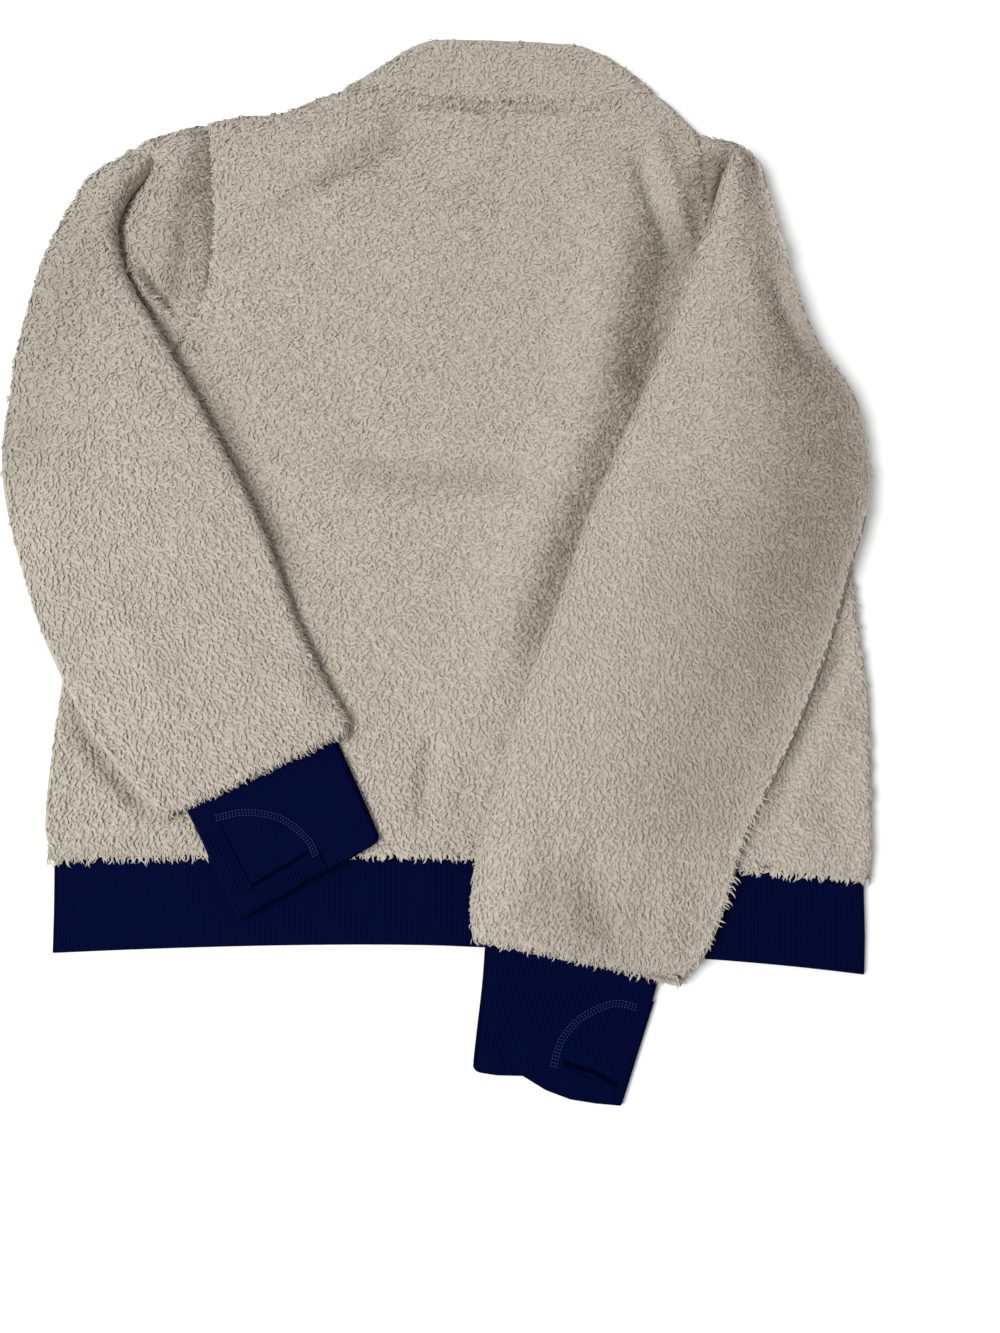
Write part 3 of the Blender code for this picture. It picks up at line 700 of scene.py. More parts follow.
def panel_plan(step, top_edge):
    """Where the points of the front or back lie, and each one's distance to its sides."""
    columns = int(PANEL_WIDTH / step)
    left_shoulder, right_shoulder = ARMHOLE_LEFT.shoulder_y, ARMHOLE_RIGHT.shoulder_y
    top_width = TOP_EDGE[-1].x - TOP_EDGE[0].x
    places, edges = [], []
    for left_x, left_y, right_x, right_y, share in body_rows(int(SIDE_LENGTH / step)):
        length = right_x - left_x
        across = across_row(length, PANEL_SIDE, PANEL_INNER, columns)
        x = left_x + across
        y = left_y + (right_y - left_y) * across / length
        top_x = TOP_EDGE[0].x + top_width * across / length
        level = left_shoulder + (right_shoulder - left_shoulder) * across / length
        rise = max((share - 0.3) / 0.7, 0.0) ** 1.6
        y = y + rise * (top_edge(top_x) - level)
        if share == 0:
            y = np.maximum(y, hem_line(HEM_ROWS[0], x))
        places.append(np.stack([x, y], -1))
        edges.append(np.minimum(across, length - across))
    places, edges = np.array(places), np.array(edges)
    places[0, :, 1] = hem_line(HEM_ROWS[0], places[0, :, 0]) - HEM_TUCK
    kept = places[:, 0, 1] < EVEN_ROWS_END
    top, lower = places[-1], places[kept][-1]
    near_top = top - (top - lower)[None] * (PANEL_TOP[:, None, None] / TOP_ROWS_SPAN)
    places = np.concatenate([places[kept], near_top])
    edges = np.concatenate([edges[kept], np.repeat(edges[-1:], len(PANEL_TOP), 0)])
    return places, edges


def along_armhole(y):
    """1 beside the armholes and 0 above and below them."""
    return smooth((y - 205) / 20) * smooth((404 - y) / 16)


def back_height(flat, edge, to_top, to_hem):
    """The back's upper surface: rounded edges, folds and the line of neck stitching."""
    x, y = flat.T
    low = np.where(x < 0, 0.22, 0.55)
    armhole = (low + (1 - low) * smooth(edge / 12)) * along_armhole(y)
    rounded = np.maximum(roll(edge, PANEL_ROUND), armhole)
    beside = np.minimum.reduce([distance_outside(flat, shape) for shape in OVER_BODY])
    soft = smooth(edge / 14) * smooth(to_hem / 14 + 0.3) * smooth((beside + 12) / 12)
    lift = relief(flat, BACK_FOLDS) + lumps(flat, 46, 0.55, 3)
    lift += 1.2 * smooth(edge / 60)
    stitched = smooth((x + 66) / 14) * smooth((92 - x) / 14)
    line = np.exp(-(((to_top - TOPSTITCH) / 1.7) ** 2))
    neck = smooth((x - NECK_LEFT - 4) / 12) * smooth((NECK_RIGHT - 4 - x) / 12)
    rounded = np.maximum(rounded, (0.72 + 0.28 * roll(to_top, 3)) * neck)
    rounded = rounded - 0.4 * line * stitched
    return SEAM_HEIGHT + (BODY_HEIGHT - SEAM_HEIGHT) * rounded + lift * soft


def panel(name, material, step, upper):
    """The back, or the front below it, rounded down at the sides and shoulders."""
    places, edges = panel_plan(step, back_top if upper else front_top)
    flat = places.reshape(-1, 2)
    to_top = line_distance(flat, places[-1])[0]
    edge = np.minimum(edges.ravel(), to_top)
    to_hem = flat[:, 1] - hem_line(HEM_ROWS[0], flat[:, 0])
    dip = 0.8 * (1 - smooth((to_hem + 4) / 16))
    if upper:
        z = back_height(flat, edge, to_top, to_hem) - dip
    else:
        z = FRONT_EDGE - FRONT_DROP * roll(edge, PANEL_ROUND) + 0.4 * dip
    grid = np.column_stack([flat, z]).reshape(*places.shape[:2], 3)
    if not upper:
        grid = grid[:, ::-1]
    covered = np.full(grid.shape[:2], float(upper))
    # Painted shade on the back, from its bands.
    nap = painted_shade_at(grid, BACK_PAINTED_SHADE if upper else [])
    mesh = grid_mesh(name, grid, covered=covered, nap=nap)
    return grid, cloth(name, mesh, FLEECE_WALL, material)


def sleeve_rings(rings, folds, seed, crown, lean):
    """The rings of a flattened sleeve that rests on the layers below it."""
    lines = through(rings, SLEEVE_ROWS)
    longest = max(np.hypot(*(ring[2:4] - ring[:2])) for ring in lines)
    columns = int(longest / SLEEVE_STEP)
    made = []
    for inner_x, inner_y, outer_x, outer_y, height in lines:
        a, b = np.array([inner_x, inner_y]), np.array([outer_x, outer_y])
        length = np.hypot(*(b - a))
        reach = min(SLEEVE_ROUND, length / 2.3)
        across = across_row(length, reach * QUARTER_ROUND, reach, columns)
        share = (across / length)[:, None]
        xy = a + (b - a) * share
        edge = np.minimum(across, length - across)
        rise = roll(edge, reach)
        under, over = seat(xy, 24), seat(xy, 40)
        swell = crown * np.sin(np.pi * share[:, 0] ** 0.6)
        swell -= lean * smooth((share[:, 0] - 0.3) / 0.7)
        middle_z = under + height / 2
        lift = relief(xy, folds) + lumps(xy, 42, 0.5, seed)
        top = over + height + swell + lift * smooth(edge / 12)
        upper = np.column_stack([xy, middle_z + (top - middle_z) * rise])
        lower = np.column_stack([xy, middle_z + (under - middle_z) * rise])
        made.append(closed_ring(upper, lower))
    return np.array(made)


def sleeve(name, rings, folds, nap, seed, crown, lean, material):
    """A sleeve with one more ring, drawn together over the cuff, at its open end."""
    grid = sleeve_rings(rings, folds, seed, crown, lean)
    last = grid[-1:].copy()
    middle = last.mean(1, keepdims=True)
    upper = last.shape[1] // 2 + 1
    share = np.linspace(0, 1, upper)
    open_end = 0.02 + 0.53 * smooth((np.minimum(share, 1 - share) - 0.03) / 0.14)
    open_end = np.concatenate([open_end, open_end[::-1][1:-1]])
    last[..., 2] = middle[..., 2] + (last[..., 2] - middle[..., 2]) * open_end
    way = grid[-1].mean(0) - grid[-4].mean(0)
    last[..., :2] += way[:2] / np.hypot(*way[:2]) * END_RING
    grid = np.concatenate([grid, last])
    return grid[:, :upper], grid, fleece_tube(name, grid, upper, nap, FLEECE_WALL, material)


def sleeve_head(name, armhole, fold, folds, nap, dome, seed, material):
    """The part of the sleeve beside the armhole, which goes under the folded part."""
    on_left = armhole is ARMHOLE_LEFT
    seam = np.stack(armhole_at(armhole, np.linspace(0, 1, HEAD_COLUMNS)), -1)
    seam[:, 0] += HEAD_GAP if on_left else -HEAD_GAP
    edge = through(fold, HEAD_COLUMNS)
    plan = np.array([seam + (edge - seam) * out for out in HEAD_ROWS])
    flat = plan.reshape(-1, 2)
    y = flat[:, 1]
    to_seam = line_distance(flat, seam)[0]
    to_top = line_distance(flat, plan[:, -1])[0]
    to_low = line_distance(flat, plan[:, 0])[0]
    low = 0.1 if on_left else 0.5
    raised = (low + (1 - low) * smooth(to_seam / 13)) * along_armhole(y)
    seam_edge = np.maximum(roll(to_seam, 8), raised)
    rounded = seam_edge * roll(to_top, 8) * roll(to_low, 6)
    beside = distance_outside(flat, SLEEVE_SHAPES[0 if on_left else 1])
    lift = (relief(flat, folds) + lumps(flat, 30, 0.4, seed)) * smooth((beside + 8) / 8)
    clear = smooth((beside + 4) / 14)
    lift += dome * smooth(to_seam / 15) * clear * smooth((y - 235) / 90)
    apex = np.hypot(*(flat - np.array(fold[-1])).T)
    lift += 7.0 * np.exp(-((apex / 24) ** 2)) * smooth(to_seam / 24)
    upper = SEAM_HEIGHT + (BODY_HEIGHT - SEAM_HEIGHT + lift) * rounded
    lower = LOW_EDGE - LOW_DROP * roll(np.minimum(to_top, to_low), 6)
    tops = np.column_stack([flat, upper]).reshape(*plan.shape[:2], 3)
    lows = np.column_stack([flat, lower]).reshape(*plan.shape[:2], 3)
    grid = np.concatenate([tops, lows[:, ::-1][:, 1:-1]], axis=1)[::-1]
    return tops, fleece_tube(name, grid, HEAD_COLUMNS, nap, HEAD_WALL, material)


def collar(name, material):
    """The stand collar: its back half above and the lower front half beneath it."""
    made = []
    rows = through(COLLAR_ROWS, 22)
    for k, (left_x, left_y, right_x, right_y, bow) in enumerate(rows):
        length = right_x - left_x
        across = across_row(length, COLLAR_ROUND * QUARTER_ROUND, COLLAR_ROUND, 52)
        share = across / length
        level = left_y + (right_y - left_y) * share
        bulge = 4 * share * (1 - share)
        neck_x = NECK_LEFT + (NECK_RIGHT - NECK_LEFT) * share
        rise = roll(np.minimum(across, length - across), COLLAR_ROUND)
        x = left_x + across
        seam = (back_top(neck_x) - BACK_LAP - level) * rise
        front_seam = (front_top(neck_x) - FRONT_LAP - level) * rise
        upper_y = level + seam * (1 - bow) + collar_crest(share) * bow
        lower_y = level + front_seam * (1 - bow) - FRONT_BOW * np.sqrt(bulge) * bow
        along = k / (len(rows) - 1)
        ends = roll(np.array(along * COLLAR_HEIGHT), 4.0) * 0.3 + 0.7
        rim = roll(np.array((1 - along) * COLLAR_HEIGHT + 1.0), 5.0)
        lift = lumps(np.column_stack([x, upper_y]), 34, 0.5, 8) * smooth(np.array(along * 3))
        top = SEAM_HEIGHT + (4.6 - 3.0 * along**2 * bulge + lift) * ends * rim
        upper_z = SEAM_HEIGHT + (top - SEAM_HEIGHT) * rise
        upper = np.column_stack([x, upper_y, upper_z])
        lower = np.column_stack([x, lower_y, LOW_EDGE - LOW_DROP * rise])
        made.append(closed_ring(upper, lower))
    grid = np.array(made)
    covered = np.zeros(grid.shape[:2])
    covered[:, : len(across)] = 1
    mesh = grid_mesh(name, grid, wrap=True, covered=covered)
    flip_if_inside_out(mesh)
    return grid[:, : len(across)], cloth(name, mesh, FLEECE_WALL, material)


# -------- rib knit


def rib_wave(distance, pitch, depth):
    """Ridges across a rib knit: rounded wales with a narrow valley between them."""
    phase = np.abs(np.sin(np.pi * distance / pitch))
    return depth * (phase**0.7 - 0.5)


def ribbed_tube(name, ring_at, rows, pitch, depth, material):
    """A flattened tube of rib knit. ring_at gives a row's plan line, heights and bend."""
    made, wales = [], []
    a, b, _bottom, height, _bend = ring_at(0.0)
    ribs = int(round((np.hypot(*(b - a)) - height) / pitch))
    turn = np.linspace(0, np.pi, 9)[1:-1]
    for k in range(rows):
        a, b, bottom, height, bend = ring_at(k / (rows - 1))
        length = np.hypot(*(b - a))
        reach = height / 2
        flat = np.linspace(reach, length - reach, ribs * 4 + 1)
        out = reach * np.sin(turn)
        level = np.cos(turn) * height / 2
        half = np.full(len(flat), height / 2)
        across = np.concatenate([flat, length - reach + out, flat[::-1], (reach - out)])
        up = np.concatenate([half, level, -half, -level])
        wave = rib_wave(flat - reach, (length - height) / ribs, depth)
        edge_wave = np.zeros(len(turn)) + depth * 0.3
        swell = np.concatenate([wave, edge_wave, -wave[::-1], -edge_wave])
        share = across / length
        xy = a + (b - a) * share[:, None]
        xy = xy + bend(xy, share)
        z = bottom(xy, share) + height / 2 + up + swell
        made.append(np.column_stack([xy, z]))
        # wale is 1 on the ridges and 0 in the valleys; the rib's material paints shade in the
        # valleys with it.
        wales.append(np.abs(swell) * np.sign(swell * up) / depth + 0.5)
    mesh = grid_mesh(name, np.array(made), wrap=True, wale=wales)
    flip_if_inside_out(mesh)
    return cloth(name, mesh, RIB_WALL, material)


def hem_band(name, material):
    rows = through(HEM_ROWS, 7)

    def ring_at(share):
        row = HemRow(*rows[int(round(share * (len(rows) - 1)))])

        def bend(xy, _share):
            return np.column_stack([np.zeros(len(xy)), hem_line(row, xy[:, 0])])

        def bottom(xy, _share):
            wave = lumps(xy, 60, 0.25, 12) * smooth(share * 2)
            return RIB_GAP + np.maximum(wave, -0.2)

        a, b = np.array([row.left, 0.0]), np.array([row.right, 0.0])
        return a, b, bottom, row.height, bend

    return ribbed_tube(name, ring_at, len(rows), 2.05, 0.34, material)


def cuff_ends(rows):
    """The middle of a cuff's seam, and the way from there to the middle of its edge."""
    first, last = rows[0][:4].reshape(2, 2), rows[-1][:4].reshape(2, 2)
    return first.mean(0), last.mean(0) - first.mean(0)


def cuff_bottom(xy):
    return np.maximum(seat(xy, 18), RIB_GAP)


def cuff(name, rings, wave, material):
    """A rib cuff; wave gives the lengthwise run of its open edge, in millimetres."""
    rows = through(rings, CUFF_ROWS)
    way = cuff_ends(rows)[1]
    way = way / np.hypot(*way)

    def ring_at(share):
        inner_x, inner_y, outer_x, outer_y, height = rows[int(round(share * (CUFF_ROWS - 1)))]
        a, b = np.array([inner_x, inner_y]), np.array([outer_x, outer_y])

        def bend(_xy, across):
            run = np.interp(across, np.linspace(0, 1, len(wave)), wave)
            corner = CUFF_CORNER * (1 - roll(across * np.hypot(*(b - a)), 6.0))
            return way * (run * share**1.5 - corner * share**6)[:, None]

        def bottom(xy, _across):
            return cuff_bottom(xy)

        return a, b, bottom, height, bend

    return ribbed_tube(name, ring_at, CUFF_ROWS, 2.0, 0.3, material)


def cuff_top(rings, xy):
    """Height of a cuff's upper surface, rounded down at its two long edges."""
    rows = through(rings, CUFF_ROWS)
    start, way = cuff_ends(rows)
    share = np.clip((xy - start) @ way / (way @ way), 0, 1)
    even = np.linspace(0, 1, CUFF_ROWS)
    inner_x, inner_y, outer_x, outer_y, height = [np.interp(share, even, row) for row in rows.T]
    inner = np.stack([inner_x, inner_y], -1)
    across = np.stack([outer_x, outer_y], -1) - inner
    length = np.hypot(*across.T)
    at = ((xy - inner) * across).sum(1) / length
    edge = roll(np.minimum(at, length - at), 2.7)
    return cuff_bottom(xy) + height * (0.5 + 0.5 * edge)


def line_at(line, share):
    """Points at shares of a line of points, counted point by point."""
    line = np.array(line, float)
    even = np.linspace(0, 1, len(line))
    return np.stack([np.interp(share, even, line[:, k]) for k in (0, 1)], -1)


def rib_patch(patch, material):
    """Rib knit laid on a cuff between two lines; its ribs run from one to the other."""
    side = patch.side_a
    ribs = max(int(round(math.dist(side[0], side[-1]) / patch.pitch)), 1)
    share = np.linspace(0, 1, ribs * 4 + 1)
    a, b = line_at(patch.side_a, share), line_at(patch.side_b, share)
    wave = rib_wave(share, 1 / ribs, patch.depth)
    rim = np.minimum(share, 1 - share) * ribs * patch.pitch
    made = []
    # wale is 1 on the ridges and 0 in the valleys; the rib's material paints shade in the
    # valleys with it.
    wales = np.tile(wave / max(patch.depth, 0.01) + 0.5, (patch.rows, 1))
    for at in np.linspace(0, 1, patch.rows):
        xy = a + (b - a) * at
        ends = np.minimum(at, 1 - at) * np.hypot(*(b - a).T)
        edge = roll(np.minimum(rim, ends) + 0.2, 1.2)
        z = cuff_top(patch.rings, xy) + patch.lift * edge + wave * edge
        made.append(np.column_stack([xy, z]))
    mesh = grid_mesh(patch.name, facing_up(np.array(made)), wale=wales)
    return cloth(patch.name, mesh, patch.lift * 0.8 + 0.3, material)


def facing_up(grid):
    """A grid turned so that its faces look up."""
    row, column = grid.shape[0] // 2, grid.shape[1] // 2
    down = grid[row, column] - grid[row - 1, column]
    across = grid[row, column] - grid[row, column - 1]
    turn = across[0] * down[1] - across[1] * down[0]
    return grid if turn > 0 else grid[:, ::-1]


def stitched_line(maker, name, rings, line, stitching):
    """Two rows of stitches along a line, with the short bars that cross between them."""
    count = SEAM_POINTS
    line = through(line, count)
    along = np.gradient(line, axis=0)
    side = np.stack([-along[:, 1], along[:, 0]], -1) / np.hypot(*along.T)[:, None]
    made = []
    for offset in (-SEAM_WIDTH / 2, 0.0, SEAM_WIDTH / 2):
        xy = line + side * offset
        made.append(np.column_stack([xy, cuff_top(rings, xy) + 1.0]))
    starts = (0, count, 2 * count)
    edges = [(k + i, k + i + 1) for k in starts for i in range(count - 1)]
    mesh = bpy.data.meshes.new(name)
    mesh.from_pydata(in_metres(np.array(made)), edges, [])
    mark(mesh, "across", np.repeat([0.0, 1.0, 0.0], count))
    return maker.work(put(name, mesh), stitching)


# -------- nodes and materials


class Number:
    """A number in a material's nodes; arithmetic on it adds Math nodes."""

    def __init__(self, nodes, socket):
        self.nodes, self.socket = nodes, socket

    def _math(self, operation, *values):
        node = self.nodes.add("ShaderNodeMath", {"operation": operation}, *values)
        return Number(self.nodes, node.outputs[0])

    def __add__(self, other):
        return self._math("ADD", self, other)

    def __sub__(self, other):
        return self._math("SUBTRACT", self, other)

    def __rsub__(self, other):
        return self._math("SUBTRACT", other, self)

    def __mul__(self, other):
        return self._math("MULTIPLY", self, other)

    def clamped(self):
        node = self.nodes.add("ShaderNodeClamp", {}, self, 0.0, 1.0)
        return Number(self.nodes, node.outputs[0])


def socket_named(sockets, name):
    return next(s for s in sockets if s.enabled and s.name == name)


class Nodes:
    """A tree of nodes, added one at a time by add()."""

    def add(self, kind, settings, *values, **named):
        node = self.tree.nodes.new(kind)
        for key, value in settings.items():
            setattr(node, key, value)
        for index, value in enumerate(values):
            self.feed(node.inputs[index], value)
        for key, value in named.items():
            self.feed(socket_named(node.inputs, key.replace("_", " ")), value)
        return node

    def feed(self, socket, value):
        value = value.socket if isinstance(value, Number) else value
        if isinstance(value, bpy.types.NodeSocket):
            self.tree.links.new(value, socket)
        else:
            socket.default_value = value


class Finish(Nodes):
    """A material's nodes."""

    def __init__(self, name):
        self.material = bpy.data.materials.new(name)
        self.material.use_nodes = True
        self.tree = self.material.node_tree
        self.shader = self.tree.nodes["Principled BSDF"]
        self.place = self.add("ShaderNodeTexCoord", {}).outputs["Object"]

    def number(self, socket):
        return Number(self, socket)

    def noise(self, scale, detail):
        node = self.add("ShaderNodeTexNoise", {}, Vector=self.place, Scale=scale, Detail=detail)
        return self.number(node.outputs["Fac"])

    def cells(self, feature, place, scale):
        node = self.add("ShaderNodeTexVoronoi", {"feature": feature}, Vector=place, Scale=scale)
        return self.number(node.outputs["Distance"])

    def attribute(self, name):
        node = self.add("ShaderNodeAttribute", {"attribute_name": name})
        return self.number(node.outputs["Fac"])

    def blend(self, factor, first, second):
        node = self.add("ShaderNodeMix", {"data_type": "RGBA", "clamp_factor": True})
        for index, value in ((0, factor), (6, first), (7, second)):
            self.feed(node.inputs[index], value)
        return node.outputs[2]

    def bump(self, height, strength, distance):
        named = {"Strength": strength, "Distance": distance, "Height": height}
        node = self.add("ShaderNodeBump", {}, **named)
        self.feed(self.shader.inputs["Normal"], node.outputs["Normal"])

    def set(self, **values):
        for key, value in values.items():
            self.feed(self.shader.inputs[key.replace("_", " ")], value)


CREAM = (0.425, 0.385, 0.325, 1)
CREAM_LIGHT = (0.475, 0.435, 0.372, 1)
CREAM_UNDER = (0.50, 0.452, 0.38, 1)
# Painted shade in the pile's recesses: the curls' roots and the gaps between curls.
CREAM_RECESS_SHADE = (0.36, 0.315, 0.258, 1)
CREAM_GREY = (0.385, 0.36, 0.31, 1)
# Painted shade for the bands of darkened fleece.
CREAM_SHADED = (0.235, 0.205, 0.165, 1)
NAVY_LIGHT = (0.0010, 0.0032, 0.031, 1)
# Painted shade in the rib's valleys and between its loops.
NAVY_VALLEY_SHADE = (0.0005, 0.0014, 0.016, 1)
# Painted shade for the thumb openings.
NAVY_SLIT_SHADE = (0.0003, 0.0006, 0.006, 1)
NAVY_SLIT_SHADE_LIGHT = (0.0006, 0.0012, 0.010, 1)
NAVY_THREAD = (0.012, 0.022, 0.11, 1)
FLOOR_WHITE = (0.93, 0.93, 0.93, 1)


def curly_pattern(finish):
    """Crooked curls about 3 mm apart: 0 in the gaps between them and 1 along them."""
    warp = finish.add("ShaderNodeTexNoise", {}, Vector=finish.place, Scale=260.0, Detail=2.0)
    scaled, summed = {"operation": "SCALE"}, {"operation": "ADD"}
    shift = finish.add("ShaderNodeVectorMath", scaled, warp.outputs["Color"], Scale=0.007)
    bent = finish.add("ShaderNodeVectorMath", summed, finish.place, shift.outputs[0])
    return (finish.cells("DISTANCE_TO_EDGE", bent.outputs[0], 330.0) * 4.0).clamped()


def fleece_ground():
    """The cloth under the pile, and the short matted pile where nothing is brushed up."""
    finish = Finish("fleece_ground")
    curls = curly_pattern(finish)
    patches = finish.noise(9.0, 3.0)
    cream = finish.blend((patches - 0.4) * 2.5, CREAM, CREAM_GREY)
    # Painted shade in the gaps between the curls.
    colour = finish.blend(curls * 0.6 + 0.4, CREAM_RECESS_SHADE, cream)
    colour = finish.blend(finish.attribute("covered"), colour, CREAM_UNDER)
    # Painted shade from the bands.
    colour = finish.blend(finish.attribute("nap"), colour, CREAM_SHADED)
    finish.set(Base_Color=colour, Roughness=0.95, Specular_IOR_Level=0.1)
    finish.bump(curls, 0.7, 0.0012)
    return finish.material


def fleece_pile():
    """The curls themselves: painted shade at the root, lighter at the tip, no two alike."""
    finish = Finish("fleece_pile")
    rise = finish.attribute("rise")
    patches = finish.noise(8.0, 3.0)
    lit = finish.blend(finish.attribute("tint"), CREAM, CREAM_LIGHT)
    lit = finish.blend(((patches - 0.42) * 2.2).clamped() * 0.6, lit, CREAM_GREY)
    # Painted shade from the bands.
    lit = finish.blend(finish.attribute("nap"), lit, CREAM_SHADED)
    # Painted shade towards the root.
    colour = finish.blend((rise * 1.6).clamped(), CREAM_RECESS_SHADE, lit)
    finish.set(Base_Color=colour, Roughness=0.9, Specular_IOR_Level=0.1)
    return finish.material


def rib_knit():
    """Navy rib knit with painted shade: light wales, darker valleys and a fine grain of loops.
    """
    finish = Finish("rib_knit")
    loop = finish.cells("F1", finish.place, 900.0)
    wale = finish.attribute("wale")
    colour = finish.blend((wale * 1.3 - 0.2).clamped(), NAVY_VALLEY_SHADE, NAVY_LIGHT)
    colour = finish.blend((loop * 1.1).clamped() * 0.35, colour, NAVY_VALLEY_SHADE)
    finish.set(Base_Color=colour, Roughness=0.95, Specular_IOR_Level=0.02)
    finish.bump(1 - loop, 0.35, 0.0004)
    return finish.material


def slit_shade():
    """Painted shade: a very dark navy for the shadowed inside of the rib, seen in the thumb
    openings.
    """
    finish = Finish("rib_inside")
    colour = finish.blend(finish.noise(900.0, 1.0), NAVY_SLIT_SHADE, NAVY_SLIT_SHADE_LIGHT)
    finish.set(Base_Color=colour, Roughness=1.0, Specular_IOR_Level=0.0)
    return finish.material


def navy_thread():
    """Thread a shade lighter than the rib it is sewn into."""
    finish = Finish("navy_thread")
    finish.set(Base_Color=NAVY_THREAD, Roughness=0.8, Specular_IOR_Level=0.1)
    return finish.material


# -------- curls and stitches


def curl_mesh(name, path, widths, heights):
    """One closed curl of pile along a path, pointed at both ends and rounded above."""
    rings = []
    for (x, y, z), width, height in zip(path[1:-1], widths, heights):
        rings += [(x, y - width, z), (x, y, z + height), (x, y + width, z)]
    points = [path[0]] + rings + [path[-1]]
    last = len(points) - 1
    faces = []
    for i in range(3):
        j = (i + 1) % 3
        faces.append([0, 1 + i, 1 + j])
        faces += [[k + i, k + 3 + i, k + 3 + j, k + j] for k in range(1, last - 3, 3)]
        faces.append([last, last - 3 + j, last - 3 + i])
    mesh = bpy.data.meshes.new(name)
    mesh.from_pydata((np.array(points) * MM).tolist(), [], faces)
    flip_if_inside_out(mesh)
    mesh.shade_smooth()
    mesh.set_sharp_from_angle(angle=math.radians(100))
    # rise goes from 0 at the root to 1 at the tip; the pile's material paints shade at the root
    # with it.
    level = np.repeat(np.linspace(0, 1, len(path))[1:-1], 3)
    mark(mesh, "rise", [0.0, *level, 1.0])
    return mesh


def curl_kinds(label, shapes, width, height):
    """A collection of curls to scatter, each along one of the paths."""
    kinds = bpy.data.collections.new(label)
    taper = np.linspace(1.0, 0.86, len(shapes[0]) - 2)
    for number, path in enumerate(shapes):
        mesh = curl_mesh(f"{label}_{number}", path, width * taper, height * taper)
        kinds.objects.link(bpy.data.objects.new(mesh.name, mesh))
    return kinds


CURLS = [
    [(-0.9, 0.0, -0.7), (0.8, 0.7, 0.35), (3.0, -0.4, 0.5), (5.0, 0.9, -0.1)],
    [(-0.9, 0.0, -0.7), (0.8, -0.7, 0.3), (2.8, 0.5, 0.6), (4.8, -0.6, 0.0)],
    [(-0.9, 0.2, -0.7), (0.6, 1.0, 0.4), (2.2, 1.5, 0.7), (4.0, 0.5, 0.1)],
    [(-0.9, -0.2, -0.7), (0.6, -1.0, 0.4), (2.2, -1.5, 0.6), (4.2, -0.4, 0.2)],
    [(-0.9, 0.0, -0.7), (1.0, 0.3, 0.3), (3.2, 0.2, 0.45), (5.6, -0.7, -0.2)],
]
HAIR_ROOT = (-0.6, 0.0, -0.4)
HAIRS = [
    [HAIR_ROOT, (1.0, 0.5, 0.6), (2.6, -0.4, 0.8), (4.2, 0.3, 0.2), (5.2, 0.9, -0.9)],
    [HAIR_ROOT, (1.0, -0.5, 0.5), (2.4, 0.4, 0.7), (3.8, -0.3, 0.4), (4.6, -0.9, -0.5)],
    [HAIR_ROOT, (1.2, 0.2, 0.7), (3.0, 0.9, 0.7), (4.8, 0.6, -0.2), (6.2, -0.2, -1.6)],
    [HAIR_ROOT, (1.0, -0.2, 0.6), (2.6, -0.9, 0.6), (4.4, -1.2, 0.0), (5.8, -0.6, -1.2)],
]
STITCH = [(-0.85, 0, -0.1), (-0.4, 0, 0.2), (0.4, 0, 0.2), (0.85, 0, -0.1)]


class Maker(Nodes):
    """A Geometry Nodes tree with named inputs."""

    def __init__(self, name, sizes):
        self.tree = bpy.data.node_groups.new(name, "GeometryNodeTree")
        sockets = self.tree.interface
        for way in ("OUTPUT", "INPUT"):
            sockets.new_socket("Geometry", in_out=way, socket_type="NodeSocketGeometry")
        self.ids = {}
        for label, kind in sizes.items():
            socket = sockets.new_socket(label, in_out="INPUT", socket_type="NodeSocket" + kind)
            self.ids[label] = socket.identifier
        self.given = self.tree.nodes.new("NodeGroupInput").outputs
        self.result = self.tree.nodes.new("NodeGroupOutput").inputs[0]

    def get(self, kind, name, settings, *values, **named):
        """The output of that name of a new node."""
        return socket_named(self.add(kind, settings, *values, **named).outputs, name)

    def marked(self, label, kind="FLOAT"):
        settings = {"data_type": kind}
        return self.get("GeometryNodeInputNamedAttribute", "Attribute", settings, Name=label)

    def random(self, low, high, **named):
        settings = {"data_type": "FLOAT"}
        return self.get("FunctionNodeRandomValue", "Value", settings, Min=low, Max=high, **named)

    def product(self, *values):
        return self.get("ShaderNodeMath", "Value", {"operation": "MULTIPLY"}, *values)

    def facing(self, vector, settings, **named):
        kind = "FunctionNodeAlignRotationToVector"
        return self.get(kind, "Rotation", settings, Vector=vector, **named)

    def turned(self, rotation, angle):
        """A rotation with a turn about its own upright axis."""
        turn = self.get("FunctionNodeAxisAngleToRotation", "Rotation", {}, Axis=(0, 0, 1),
                        Angle=angle)
        return self.get("FunctionNodeRotateRotation", "Rotation", {"rotation_space": "LOCAL"},
                        Rotation=rotation, Rotate_By=turn)

    def end(self, instances):
        """The tree's result: the instances as one mesh with the given material."""
        whole = self.get("GeometryNodeRealizeInstances", "Geometry", {}, Geometry=instances)
        done = self.get("GeometryNodeSetMaterial", "Geometry", {}, Geometry=whole,
                        Material=self.given["Finish"])
        self.feed(self.result, done)
        return self

    def work(self, piece, values):
        """Runs the tree on the piece and leaves a plain mesh."""
        maker = piece.modifiers.new(self.tree.name, "NODES")
        maker.node_group = self.tree
        for label, value in values.items():
            maker[self.ids[label]] = value
        return plain(piece)


ALONG = {"axis": "X", "pivot_axis": "Z"}


